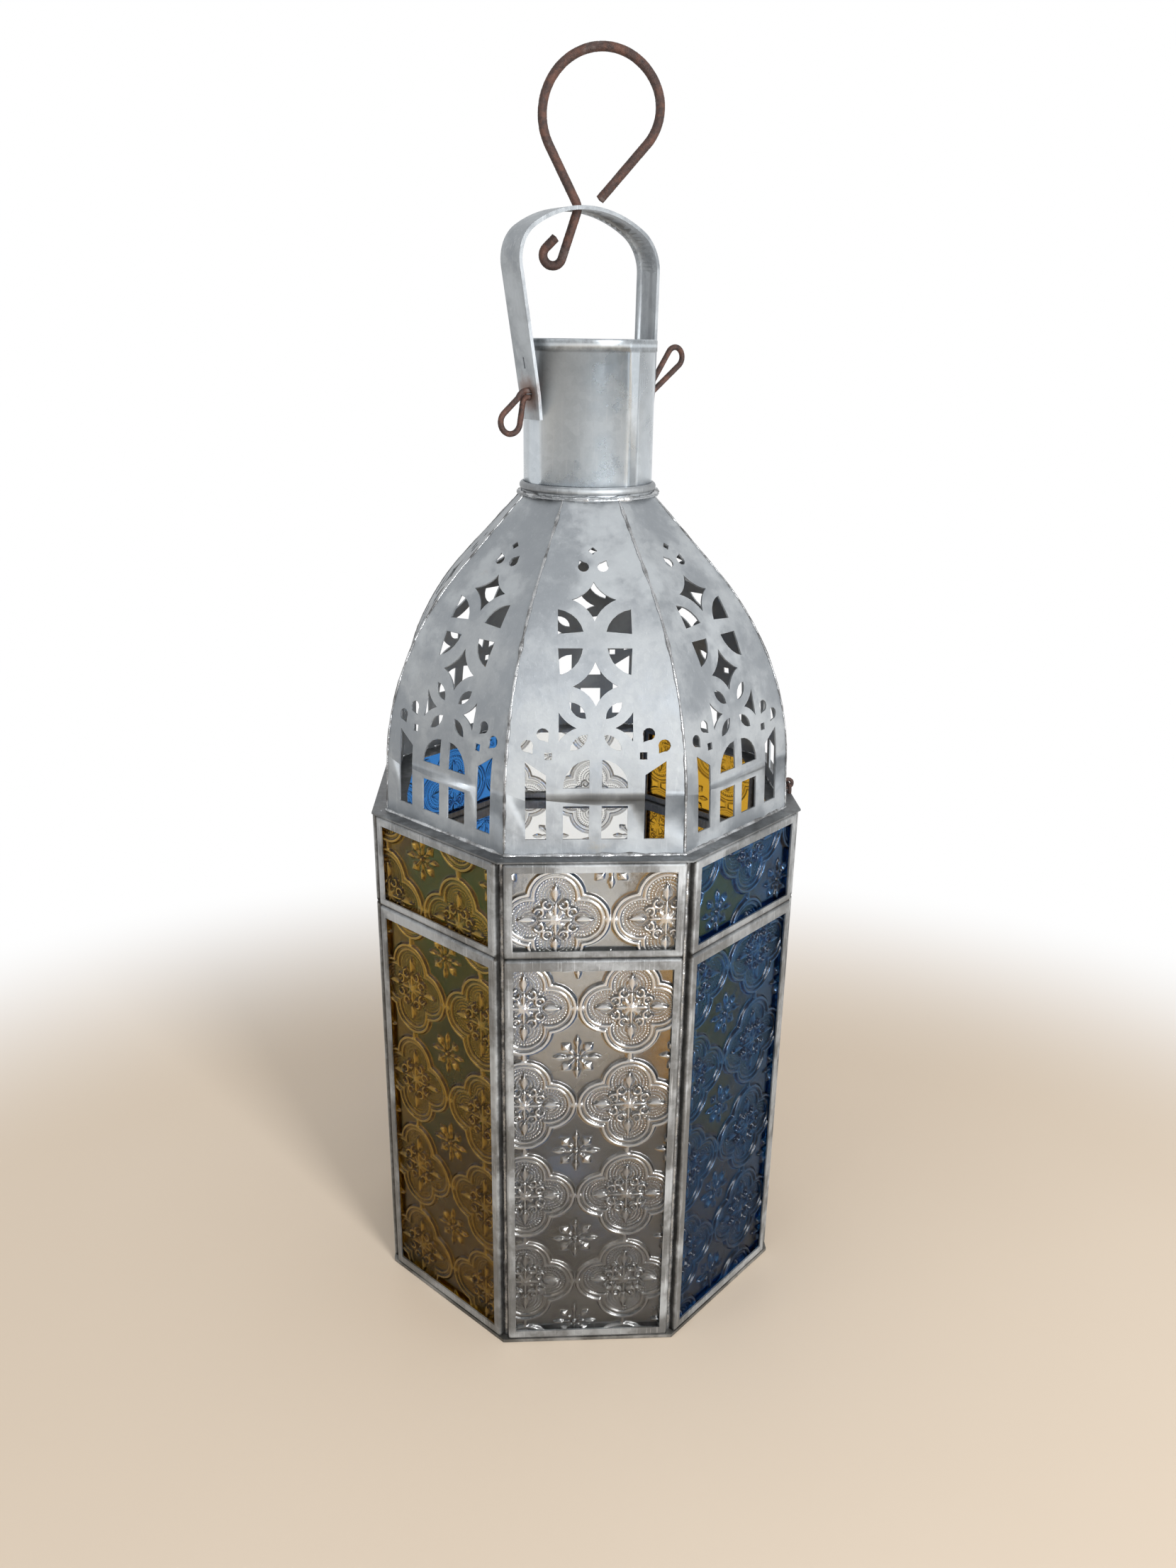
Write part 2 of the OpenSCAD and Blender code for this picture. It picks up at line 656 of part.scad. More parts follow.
module chimney_tube() {
    rim_r = chimney_r + rim_proud;
    lip_r = (rim_proud + sheet_t) / 2;
    color("silver") difference() {
        union() {
            rotate_extrude() {
                translate([chimney_r - sheet_t, dome_top_z]) square([sheet_t, chimney_h - lip_r]);
                translate([chimney_r - sheet_t, chimney_top_z - rim_h])
                    square([rim_r - chimney_r + sheet_t, rim_h - lip_r]);
                translate([rim_r - lip_r, chimney_top_z - lip_r]) circle(r = lip_r);
            }
            intersection() {
                translate([0, 0, dome_top_z + collar_h]) difference() {
                    cylinder(r = chimney_r + seam_proud, h = chimney_h - collar_h - rim_h);
                    translate([0, 0, -over]) cylinder(r = chimney_r - sheet_t / 2, h = chimney_h + 2 * over);
                }
                rotate([0, 0, seam_azimuth]) translate([0, -seam_w / 2, dome_top_z])
                    cube([chimney_r + over, seam_w, chimney_h]);
            }
        }
        pin_holes(chimney_r + over);
    }
}

// A flat flange over the dome's neck, a short sleeve round the tube and a bead on it
module chimney_collar() {
    collar_gap = neck_gap / 3;
    sleeve_r = chimney_r + collar_gap;
    color("gainsboro") translate([0, 0, dome_top_z]) rotate_extrude() {
        translate([sleeve_r, 0]) square([collar_flange_r - sleeve_r, sheet_t]);
        translate([sleeve_r, 0]) square([sheet_t, collar_h - sheet_t / 2]);
        intersection() {
            translate([sleeve_r, collar_h / 2 + sheet_t]) circle(r = bead_r);
            translate([sleeve_r, 0]) square([2 * bead_r, collar_h]);
        }
    }
}

// Points of a circle's arc from one angle to another, both ends included
function round_points(centre, radius, from_angle, to_angle, steps) = [for (i = [0 : steps])
    let (a = from_angle + (to_angle - from_angle) * i / steps) centre + radius * [cos(a), sin(a)]];

// The strap's line seen from its edge, at a depth under its outer face: an arm that
// leans out, a shoulder, the arch, and the same again down the other side, all of it
// carried to the left by the handle's lean
function strap_line(depth) =
    let (shoulder = [shoulder_u, shoulder_z], meet = 90 - arch_half_angle,
        bend = round_points(shoulder, shoulder_r - depth, -arm_lean, meet, 12),
        side = concat([bend[0] - arm_l * [sin(arm_lean), cos(arm_lean)],
            bend[0] - (bend[0][1] - pivot_z) * [tan(arm_lean), 1]], bend),
        arch = round_points([0, crown_z - arch_r], arch_r - depth, meet, 180 - meet, 18),
        line = concat(side, [for (i = [1 : len(arch) - 2]) arch[i]],
            [for (i = [len(side) - 1 : -1 : 0]) [-side[i][0], side[i][1]]]))
    [for (p = line) [p[0] - lean_shift(p[1]), p[1]]];

module strap_section(depth, thickness) {
    outer = strap_line(depth);
    inner = strap_line(depth + thickness);
    polygon(concat(outer, [for (i = [len(inner) - 1 : -1 : 0]) inner[i]]));
}

// The strap: one sheet at full width, with a fold on its inner face along both edges
module handle_strap() {
    color("silver") rotate([0, 0, handle_azimuth]) difference() {
        union() {
            rotate([90, 0, 0]) linear_extrude(strap_w, center = true) strap_section(0, sheet_t);
            for (v = [0, strap_w - strap_hem_w]) translate([0, strap_w / 2 - v, 0])
                rotate([90, 0, 0]) linear_extrude(strap_hem_w) strap_section(sheet_t / 2, 1.5 * sheet_t);
        }
        translate([0, 0, pivot_z]) rotate([0, 90, 0])
            cylinder(r = pin_hole_r, h = 2 * handle_half_w + 2 * over, center = true);
        translate([hook_hole_u, 0, hook_hole_z]) cylinder(r = hook_hole_r, h = 4 * over, center = true);
        translate([-handle_half_w - over, -slit_w / 2, pivot_z + slit_rise])
            cube([shoulder_r, slit_w, slit_l]);
    }
}

// A wire bent in one plane, from the origin along +X. Each step is a straight run,
// the radius of the bend after it and the bend's angle, anticlockwise if positive.
// Where the bends aren't at right angles, a ball a little larger than the wire joins
// each run to its bends
module bent_wire(wire_d, steps, proud = 0, i = 0) {
    run = steps[i][0];
    radius = steps[i][1];
    turn = steps[i][2];
    side = sign(turn);
    ball_d = wire_d + 2 * proud;
    if (proud > 0 && i > 0) sphere(d = ball_d);
    if (run > 0) rotate([0, 90, 0]) cylinder(d = wire_d, h = run);
    if (proud > 0 && run > 0 && turn != 0) translate([run, 0, 0]) sphere(d = ball_d);
    translate([run, side * radius, 0]) {
        if (turn != 0) rotate([0, 0, turn > 0 ? -90 : 90 + turn])
            rotate_extrude(angle = abs(turn)) translate([radius, 0]) circle(d = wire_d);
        rotate([0, 0, turn]) translate([0, -side * radius, 0])
            if (i + 1 < len(steps)) bent_wire(wire_d, steps, proud, i + 1);
    }
}

// A pin of wire folded double: spread legs inside the tube, two legs through tube and
// strap, and an eye outside that is tilted up or down
module handle_pin(eye_w, flare, tilt) {
    eye_r = eye_w / 2;
    eye_run = (eye_r * cos(flare) - pin_pitch / 2 - eye_flare_r * (1 - cos(flare))) / sin(flare);
    upper_r = tilt < 0 ? pin_bend_r + pin_pitch : pin_bend_r;
    lower_r = tilt < 0 ? pin_bend_r : pin_bend_r + pin_pitch;
    steps = [
        [pin_tail_l, pin_bend_r, 90],
        [pin_shank_l, upper_r, tilt],
        [0, eye_flare_r, flare],
        [eye_run, eye_r, -180 - 2 * flare],
        [eye_run, eye_flare_r, flare],
        [0, lower_r, -tilt],
        [pin_shank_l, pin_bend_r, 90],
        [pin_tail_l, 0, 0]
    ];
    translate([pin_start_u, 0, pivot_z + pin_pitch / 2 + pin_bend_r + pin_tail_l])
        rotate([90, 0, 0]) rotate([0, 0, -90]) bent_wire(pin_wire_d, steps, ball_proud);
}

module handle_pin_left() {
    color("saddlebrown") rotate([0, 0, handle_azimuth + 180])
        handle_pin(left_eye_w, left_eye_flare, left_eye_tilt);
}

module handle_pin_right() {
    color("saddlebrown") rotate([0, 0, handle_azimuth])
        handle_pin(right_eye_w, right_eye_flare, right_eye_tilt);
}

// The hook: from the hole up round the loop, and from the hole down to the curl
module hanging_hook() {
    loop_steps = [
        [0, hook_bend_r, hook_half_bend],
        [loop_neck_l, loop_r, -loop_turn],
        [0, loop_side_r, -loop_side_turn],
        [loop_end_l, 0, 0]
    ];
    curl_steps = [
        [0, hook_bend_r, -hook_half_bend],
        [curl_neck_l, curl_r, -curl_turn],
        [curl_end_l, 0, 0]
    ];
    color("saddlebrown") rotate([0, 0, handle_azimuth]) translate([hook_hole_u, 0, hook_hole_z])
        rotate([0, 0, hook_azimuth - handle_azimuth]) rotate([90, 0, 0]) {
            sphere(d = hook_wire_d + 2 * ball_proud);
            rotate([0, 0, hook_heading]) bent_wire(hook_wire_d, loop_steps, ball_proud);
            rotate([0, 0, hook_heading + 180]) bent_wire(hook_wire_d, curl_steps, ball_proud);
        }
}

// One hinge leaf: a knuckle on the hinge line and a plate that lies on a face of the
// body, to the left of the line or to its right as seen from outside
module hinge_leaf(side) {
    difference() {
        union() {
            cylinder(r = knuckle_r, h = knuckle_h);
            translate([side > 0 ? 0 : -hinge_leaf_w, -sheet_t, 0]) cube([hinge_leaf_w, sheet_t, knuckle_h]);
        }
        translate([0, 0, -over]) cylinder(r = knuckle_bore_r, h = knuckle_h + 2 * over);
    }
}

module hinge_body_leaf(z) {
    color("dimgray") on_face(door_face + 1) translate([-corner_x, -face_dist, z]) hinge_leaf(1);
}

module hinge_door_leaf(z) {
    color("dimgray") on_face(door_face) translate([corner_x, -face_dist, z + knuckle_h + knuckle_gap])
        hinge_leaf(-1);
}

// A hinge pin: a straight shank with a round head that rests above the door's knuckle
module hinge_pin(z) {
    shank_h = 2 * knuckle_h + 2 * knuckle_gap;
    color("gray") on_face(door_face) translate([corner_x, -face_dist, z]) {
        cylinder(r = hinge_pin_r, h = shank_h + hinge_head_h / 2);
        translate([0, 0, shank_h]) intersection() {
            translate([0, 0, hinge_head_h - hinge_head_r]) sphere(r = hinge_head_r);
            cylinder(r = hinge_head_r, h = hinge_head_h);
        }
    }
}

// The staple: a wire bridge that stands on the ledge, its bar along the door
module latch_staple() {
    bar_l = staple_w - 2 * staple_bend_r;
    leg_l = latch_z - ledge_top_z - staple_bend_r;
    steps = [[leg_l, staple_bend_r, 90], [bar_l, staple_bend_r, 90], [leg_l, 0, 0]];
    color("saddlebrown") translate([latch_x, latch_shift + staple_w / 2, ledge_top_z])
        rotate([90, -90, 90]) bent_wire(latch_wire_d, steps);
}

// The latch hook, opened: an eye round the staple's bar and a leg that leans on the dome
module latch_hook() {
    steps = [[latch_leg_l, latch_eye_r, latch_eye_turn]];
    color("saddlebrown") translate([latch_x, latch_shift, latch_z]) rotate([0, -latch_turn, 0])
        translate([latch_eye_r, 0, -latch_leg_l]) rotate([90, -90, 0]) bent_wire(latch_wire_d, steps);
}

base_plate();
candle_cup();
for (k = fixed_faces) {
    lower_frame(k);
    upper_frame(k);
    lower_glass(k);
    upper_glass(k);
}
door_frame();
door_glass_lower();
door_glass_upper();
ledge();
for (k = [0 : sides - 1])
    dome_panel(k);
chimney_tube();
chimney_collar();
handle_strap();
handle_pin_left();
handle_pin_right();
hanging_hook();
hinge_body_leaf(low_hinge_z);  // hinge_body_leaf_low
hinge_body_leaf(high_hinge_z);  // hinge_body_leaf_high
hinge_door_leaf(low_hinge_z);  // hinge_door_leaf_low
hinge_door_leaf(high_hinge_z);  // hinge_door_leaf_high
hinge_pin(low_hinge_z);  // hinge_pin_low
hinge_pin(high_hinge_z);  // hinge_pin_high
latch_staple();
latch_hook();
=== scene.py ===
"""Studio scene of an eight-sided candle lantern of soldered tin and pressed glass.

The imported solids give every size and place. The panes, the wires and the seams of solder
are worked out here as surfaces. The dome's gores, the chimney, the collar, the strap and
the candle cup are the solids' own forms with a smooth shade. All else keeps its solid and
gets a finish. Metres and the frame's own axes: +Z up, the front pane facing -Y.
"""

import json
import math

import bmesh
import bpy
import numpy as np
from mathutils import Matrix, Vector


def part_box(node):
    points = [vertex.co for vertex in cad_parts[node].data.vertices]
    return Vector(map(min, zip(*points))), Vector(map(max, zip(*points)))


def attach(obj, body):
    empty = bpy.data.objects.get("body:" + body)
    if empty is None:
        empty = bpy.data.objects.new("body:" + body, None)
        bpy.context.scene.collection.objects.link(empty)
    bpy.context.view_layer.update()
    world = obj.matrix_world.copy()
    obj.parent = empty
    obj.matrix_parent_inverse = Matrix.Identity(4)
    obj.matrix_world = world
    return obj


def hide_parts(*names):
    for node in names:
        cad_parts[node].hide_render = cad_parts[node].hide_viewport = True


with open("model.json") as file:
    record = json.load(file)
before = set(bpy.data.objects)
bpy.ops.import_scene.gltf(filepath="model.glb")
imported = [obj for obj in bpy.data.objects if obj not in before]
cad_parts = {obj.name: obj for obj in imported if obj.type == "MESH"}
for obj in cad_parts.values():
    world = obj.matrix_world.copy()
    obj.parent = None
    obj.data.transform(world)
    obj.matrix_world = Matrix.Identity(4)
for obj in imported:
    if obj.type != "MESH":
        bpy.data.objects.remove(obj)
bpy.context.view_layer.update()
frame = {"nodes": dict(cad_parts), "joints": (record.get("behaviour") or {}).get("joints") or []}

MM = 0.001
FACES = ["front", "front_right", "right", "back_right", "back", "back_left", "left", "front_left"]
FACE_TURN = math.radians(45)
HALF_FACE = FACE_TURN / 2
DOOR_FACE = 2
DOOR_CORNERS = (DOOR_FACE - 1, DOOR_FACE)
JOINTS = {joint["name"]: joint for joint in frame["joints"]}
HANDLE_AXIS = JOINTS["handle_swing"]["axis"]
HANDLE_PIVOT = JOINTS["handle_swing"]["pos_m"]
HOOK_HOLE = JOINTS["hook_swivel"]["pos_m"]
LATCH_BAR = JOINTS["latch_turn"]["pos_m"]
LOWER_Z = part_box("lower_frame_front")[0].z
UPPER_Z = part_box("upper_frame_front")[0].z
LEDGE_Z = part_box("ledge")[0].z
LEDGE_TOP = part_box("ledge")[1].z
CHIMNEY_FOOT_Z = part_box("chimney_tube")[0].z
RIM_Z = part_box("chimney_tube")[1].z

# Camera. The focal length and the photograph's long side are in its pixels.

PHOTO_LONG_SIDE = 2212
FOCAL_LENGTH = 1700
SENSOR_WIDTH = 36
CLIP_NEAR, CLIP_FAR = 0.01, 50
CAMERA_PLACE = (-0.0241, -0.4365, 0.3586)
CAMERA_YAW = math.radians(3.3794)
CAMERA_PITCH = math.radians(20.1586)
CAMERA_ROLL = math.radians(0.82)


def make_camera():
    """The photograph's view: turned a little to the right, tipped down and rolled."""
    lens = bpy.data.cameras.new("camera")
    lens.sensor_width = SENSOR_WIDTH
    lens.lens = SENSOR_WIDTH * FOCAL_LENGTH / PHOTO_LONG_SIDE
    lens.clip_start, lens.clip_end = CLIP_NEAR, CLIP_FAR
    camera = bpy.data.objects.new("camera", lens)
    bpy.context.scene.collection.objects.link(camera)
    camera.matrix_world = (
        Matrix.Translation(CAMERA_PLACE)
        @ Matrix.Rotation(-CAMERA_YAW, 4, "Z")
        @ Matrix.Rotation(math.pi / 2 - CAMERA_PITCH, 4, "X")
        @ Matrix.Rotation(CAMERA_ROLL, 4, "Z")
    )
    bpy.context.scene.camera = camera


make_camera()

# Shader tools


class Value:
    """A socket of a finish. Sums and products of values add their Math nodes."""

    def __init__(self, finish, socket):
        self.finish, self.socket = finish, socket

    def _maths(self, operation, *values):
        return self.finish.node("ShaderNodeMath", {"operation": operation}, dict(enumerate(values)))

    def __add__(self, other):
        return self._maths("ADD", self, other)

    __radd__ = __add__

    def __sub__(self, other):
        return self._maths("SUBTRACT", self, other)

    def __rsub__(self, other):
        return self._maths("SUBTRACT", other, self)

    def __mul__(self, other):
        return self._maths("MULTIPLY", self, other)

    __rmul__ = __mul__

    def __truediv__(self, other):
        return self._maths("DIVIDE", self, other)

    def cosine(self):
        return self._maths("COSINE", self)


class Finish:
    """The nodes of a material, or of the world where one is given."""

    def __init__(self, name, world=None):
        self.owner = world or bpy.data.materials.new(name)
        self.owner.use_nodes = True
        self.tree = self.owner.node_tree
        self.tree.nodes.clear()

    def node(self, kind, settings=None, values=None, out=0):
        """Adds a node: its settings first, then the numbers or links of its sockets."""
        made = self.tree.nodes.new(kind)
        for name, setting in (settings or {}).items():
            setattr(made, name, setting)
        for key, value in (values or {}).items():
            if isinstance(value, Value):
                self.tree.links.new(value.socket, made.inputs[key])
            elif value is not None:
                made.inputs[key].default_value = value
        return Value(self, made.outputs[out]) if made.outputs else None

    def place(self, stretch=(1, 1, 1)):
        """The point on the object, stretched along each axis."""
        point = self.node("ShaderNodeTexCoord", out="Object")
        return self.node("ShaderNodeVectorMath", {"operation": "MULTIPLY"}, {0: point, 1: stretch})

    def noise(self, point, scale, detail=4, rough=0.55):
        values = {"Vector": point, "Scale": scale, "Detail": detail, "Roughness": rough}
        return self.node("ShaderNodeTexNoise", None, values)

    def flakes(self, point, scale):
        """Cells with a random brightness each, as on zinc that has set in crystals."""
        return self.node("ShaderNodeTexVoronoi", None, {"Vector": point, "Scale": scale}, out="Color")

    def parts(self, point):
        """The three numbers of a point."""
        split = self.node("ShaderNodeSeparateXYZ", None, {0: point}).socket.node
        return [Value(self, split.outputs[axis]) for axis in "XYZ"]

    def attribute(self, name):
        """A number that the piece's own points carry."""
        return self.node("ShaderNodeAttribute", {"attribute_name": name}, out="Fac")

    def corner_angle(self):
        """How far round, in radians, the point lies from the body's nearest corner."""
        x, y, _ = self.parts(self.place())
        turn = self.node("ShaderNodeMath", {"operation": "ARCTAN2"}, {0: y, 1: x})
        from_corner = turn + 3 * HALF_FACE
        return self.node("ShaderNodeMath", {"operation": "PINGPONG"}, {0: from_corner, 1: HALF_FACE})

    def near_height(self, level, reach):
        """1 at a height, down to 0 at a distance from it."""
        _, _, z = self.parts(self.place())
        away = self.node("ShaderNodeMath", {"operation": "ABSOLUTE"}, {0: z - level})
        return self.step(away, 0.2 * reach, reach, 1, 0)

    def near_place(self, place, near, far, most, uneven):
        """A number round a place, down to 0 further off, where it ends unevenly."""
        values = {0: self.place(), 1: tuple(place)}
        away = self.node("ShaderNodeVectorMath", {"operation": "DISTANCE"}, values, out="Value")
        return self.step(away / uneven, near, far, most, 0)

    def step(self, value, low, high, to_low=0.0, to_high=1.0):
        """Goes smoothly from one number to another while the value goes from low to high."""
        settings = {"interpolation_type": "SMOOTHSTEP", "clamp": True}
        values = {0: value, 1: low, 2: high, 3: to_low, 4: to_high}
        return self.node("ShaderNodeMapRange", settings, values)

    def tint(self, mask, low, high):
        """A colour between two colours or links, by a mask."""
        low, high = [(*c, 1) if isinstance(c, tuple) else c for c in (low, high)]
        return self.node("ShaderNodeMix", {"data_type": "RGBA"}, {0: mask, 6: low, 7: high}, out=2)

    def bump(self, height, distance, strength=1.0, under=None):
        values = {"Height": height, "Distance": distance, "Strength": strength, "Normal": under}
        return self.node("ShaderNodeBump", None, values)

    def principled(self, **sockets):
        """A principled shader. Socket names come with underscores for their spaces."""
        values = {name.replace("_", " "): value for name, value in sockets.items()}
        if isinstance(values["Base Color"], tuple):
            values["Base Color"] = (*values["Base Color"], 1)
        return self.node("ShaderNodeBsdfPrincipled", None, values)

    def mixed(self, share, first, second):
        """The finished material, from a share of the second shader over the first."""
        return self.close(self.node("ShaderNodeMixShader", None, {0: share, 1: first, 2: second}))

    def close(self, shader):
        self.node("ShaderNodeOutputMaterial", None, {"Surface": shader})
        return self.owner

    def surface(self, **sockets):
        return self.close(self.principled(**sockets))

    def seen(self, *kinds):
        """1 for rays of any of these kinds."""
        path = self.node("ShaderNodeLightPath").socket.node
        either = Value(self, path.outputs[kinds[0]])
        for kind in kinds[1:]:
            other = Value(self, path.outputs[kind])
            either = self.node("ShaderNodeMath", {"operation": "MAXIMUM"}, {0: either, 1: other})
        return either


# Finishes. Colours are linear, scales are cells to the metre.

SCRATCHED = (0.74, 0.76, 0.78)
STAINED = (0.33, 0.27, 0.17)
# Dark colour for grime at the given heights, and for grime with painted shade in the body's corners
GRIME_AND_SHADE = (0.035, 0.034, 0.032)
RUSTY = (0.17, 0.085, 0.05)
# Angles from a corner over which its grime and painted shade fade out
CORNER_GRIME_AND_SHADE = (0.006, 0.034)
GRIME_REACH = 1.6 * MM
RUST_NEAR, RUST_FAR = 2 * MM, 8 * MM
CLOUD_MIDDLE = 0.42


def zinc_sheet(
    name,
    dark,
    light,
    bloom,
    streaks=0.3,
    stains=0.0,
    rough=0.46,
    shift=0.0,
    cloudy=0.62,
    dents=0.45,
    grime=(),
    corners=False,
    rust=(),
):
    """Galvanised tin: grey clouds, small set crystals, upright scratches, a chalky
    bloom and, if asked for, brown stains, grime with painted shade in the body's corners,
    grime at the heights given, and rust round the places given. The shift moves the whole pattern."""
    m = Finish(name)
    moved = {0: m.place(), 1: (shift, 2 * shift, 0)}
    point = m.node("ShaderNodeVectorMath", {"operation": "ADD"}, moved)
    clouds = m.step(m.noise(point, scale=46, detail=5, rough=0.6), 0.34, 0.68)
    patches = m.step(m.noise(point, scale=17, detail=3, rough=0.5), 0.42, 0.62)
    crystals = m.flakes(point, scale=420)
    specks = m.noise(point, scale=1400, detail=2)
    drawn_out = m.place(stretch=(1300, 1300, 55))
    scratches = m.step(m.noise(drawn_out, scale=1, detail=3, rough=0.7), 0.55, 0.78)
    tone = cloudy * clouds + 0.22 * crystals + 0.3 * specks + 0.5 * (CLOUD_MIDDLE - cloudy)
    colour = m.tint(m.step(tone, 0.1, 0.9), dark, light)
    colour = m.tint(m.step(patches * clouds, 0.25, 0.85, 0, 0.6), colour, bloom)
    colour = m.tint(scratches * streaks, colour, SCRATCHED)
    if stains:
        brown = m.step(m.noise(point, scale=24, detail=6, rough=0.7), 0.62, 0.72) * stains
        colour = m.tint(brown, colour, STAINED)
    uneven_edge = 0.5 + m.noise(point, scale=300, detail=4, rough=0.7)
    # Grime and painted shade: darker towards the corner grooves between the body's faces
    dirt = m.step(m.corner_angle() / uneven_edge, *CORNER_GRIME_AND_SHADE, 0.92, 0) if corners else 0
    for level in grime:
        dirt = m.near_height(level, GRIME_REACH) * uneven_edge * 0.55 + dirt
    if grime:
        colour = m.tint(m.step(dirt, 0.1, 1.0), colour, GRIME_AND_SHADE)
    for place in rust:
        halo = m.near_place(place, RUST_NEAR, RUST_FAR, 0.75, uneven_edge)
        colour = m.tint(halo, colour, RUSTY)
    roughness = m.step(clouds + 0.5 * specks + 0.25 * crystals, 0.2, 1.3, rough - 0.1, rough + 0.13)
    hollows, pits = m.noise(point, scale=60, detail=3), m.noise(point, scale=700, detail=3)
    uneven = hollows * 3 + pits * 0.25 + scratches * 0.08
    return m.surface(
        Base_Color=colour,
        Metallic=0.82,
        Roughness=roughness,
        Normal=m.bump(uneven, 0.4 * MM, dents),
    )


def solder(name, bright, dirty):
    """Solder: bright where it was touched, dull and dirty in the hollows."""
    m = Finish(name)
    lumps = m.noise(m.place(), scale=420, detail=4, rough=0.6)
    dirt = m.step(m.noise(m.place(), scale=150, detail=4, rough=0.65), 0.4, 0.66)
    return m.surface(
        Base_Color=m.tint(dirt, bright, dirty),
        Metallic=0.9,
        Roughness=m.step(dirt + lumps * 0.5, 0.3, 1.3, 0.26, 0.62),
        Normal=m.bump(lumps, 0.6 * MM, 0.6),
    )


def rusty_wire():
    """Iron wire with dark brown rust, redder in spots and rubbed grey in others."""
    m = Finish("rusty_wire")
    crust = m.noise(m.place(), scale=900, detail=6, rough=0.68)
    spots = m.step(m.noise(m.place(), scale=260, detail=5, rough=0.62), 0.44, 0.62)
    rubbed = m.step(m.noise(m.place(), scale=120, detail=4, rough=0.6), 0.6, 0.74, 0, 0.6)
    colour = m.tint(m.step(crust, 0.3, 0.7), (0.024, 0.015, 0.0135), (0.075, 0.043, 0.036))
    colour = m.tint(spots, colour, (0.098, 0.047, 0.034))
    colour = m.tint(rubbed, colour, (0.16, 0.14, 0.135))
    return m.surface(
        Base_Color=colour,
        Metallic=0.35,
        Roughness=m.step(crust, 0.2, 0.8, 0.5, 0.8),
        Normal=m.bump(crust, 0.5 * MM, 0.8),
    )


def pressed_glass(name, tint, shade_tint, highlight_colour, share=1.0, index=1.5, foot_highlight=0.14):
    """Pressed glass: a clear tint with painted shade, a darker tint on the steep sides of
    the pattern and between the beads, rows of small beads in the medallions, read from
    the pane's own map, the faint ripple of poured glass, and a painted highlight, bright
    metal mixed in on all that stands proud. The painted highlight's share falls towards the pane's
    foot."""
    m = Finish(name)
    u, v, _ = m.parts(m.node("ShaderNodeUVMap", {"uv_map": "beads"}))
    ground, proud, steep = [m.attribute(label) for label in ("bead_ground", "proud", "steep")]
    turn = 2 * math.pi
    bead = (1 - (u * turn).cosine()) * (1 + (v * turn).cosine()) * 0.25 * ground
    ripple = m.noise(m.place(), scale=130, detail=3)
    normal = m.bump(ripple, 1.2 * MM, 0.25, m.bump(bead, 0.26 * MM, 1.0))
    haze = m.noise(m.place(), scale=35, detail=4)
    # Painted shade: the darker tint on the steep sides of the pattern and between the beads
    painted_shade = m.step(steep + 0.3 * ground * (1 - bead), 0.25, 0.85)
    body = m.principled(
        Base_Color=m.tint(painted_shade, tint, shade_tint),
        Roughness=m.step(haze, 0.35, 0.75, 0.2, 0.28),
        IOR=index,
        Transmission_Weight=1.0,
        Normal=normal,
    )
    # Painted highlight: bright metal mixed onto the ridges and bead tops in place of the light that
    # the relief gathers
    painted_highlight = m.principled(
        Base_Color=highlight_colour,
        Metallic=0.85,
        Roughness=m.step(haze, 0.35, 0.75, 0.13, 0.2),
        Normal=normal,
    )
    crown = proud * (1 - 0.95 * m.step(steep, 0.45, 0.85))
    _, _, height = m.parts(m.place())
    # The painted highlight grows weaker towards the pane's foot
    highlight_fade = m.step(height, 0.02, 0.18, foot_highlight, 1.0)
    highlight_amount = m.step(crown + 0.8 * bead, 0.1, 0.8, 0.02 * share, 0.64 * share) * highlight_fade
    return m.mixed(highlight_amount, body, painted_highlight)


# How far from the lantern's axis the pins come through the strap
RUST_U = 25.5 * MM

TIN = zinc_sheet(
    "zinc_tin",
    dark=(0.19, 0.20, 0.21),
    light=(0.36, 0.38, 0.395),
    bloom=(0.44, 0.47, 0.495),
    stains=0.3,
    grime=(LEDGE_TOP,),
)
STRAP_TIN = zinc_sheet(
    "zinc_strap",
    dark=(0.25, 0.27, 0.29),
    light=(0.40, 0.425, 0.445),
    bloom=(0.48, 0.515, 0.545),
    rust=[[HANDLE_PIVOT[i] + side * RUST_U * HANDLE_AXIS[i] for i in range(3)] for side in (-1, 1)],
)
CHIMNEY_TIN = zinc_sheet(
    "zinc_chimney",
    dark=(0.46, 0.51, 0.55),
    light=(0.62, 0.67, 0.715),
    bloom=(0.67, 0.73, 0.775),
    streaks=0.35,
    stains=0.12,
    rough=0.29,
    shift=0.7,
    cloudy=0.3,
    dents=0.12,
    grime=(RIM_Z - 0.8 * MM, RIM_Z - 3.2 * MM, CHIMNEY_FOOT_Z + 2 * MM),
)
DOME_TIN = zinc_sheet(
    "zinc_dome",
    dark=(0.25, 0.27, 0.29),
    light=(0.37, 0.39, 0.405),
    bloom=(0.42, 0.445, 0.465),
    streaks=0.1,
    stains=0.35,
    rough=0.58,
    shift=0.3,
)
FRAME_TIN = zinc_sheet(
    "zinc_frame",
    dark=(0.17, 0.177, 0.182),
    light=(0.35, 0.363, 0.372),
    bloom=(0.44, 0.46, 0.475),
    streaks=0.5,
    grime=(LOWER_Z, UPPER_Z, LEDGE_Z),
    # grime and painted shade in the corner grooves
    corners=True,
)
SOOTY_TIN = zinc_sheet(
    "zinc_sooty",
    dark=(0.10, 0.097, 0.088),
    light=(0.27, 0.262, 0.245),
    bloom=(0.34, 0.335, 0.32),
    streaks=0.1,
    stains=0.5,
    rough=0.6,
    shift=1.3,
)
SOLDER = solder("solder", bright=(0.46, 0.475, 0.49), dirty=(0.15, 0.15, 0.15))
DULL_SOLDER = solder("dull_solder", bright=(0.40, 0.41, 0.42), dirty=(0.10, 0.10, 0.10))
WIRE = rusty_wire()
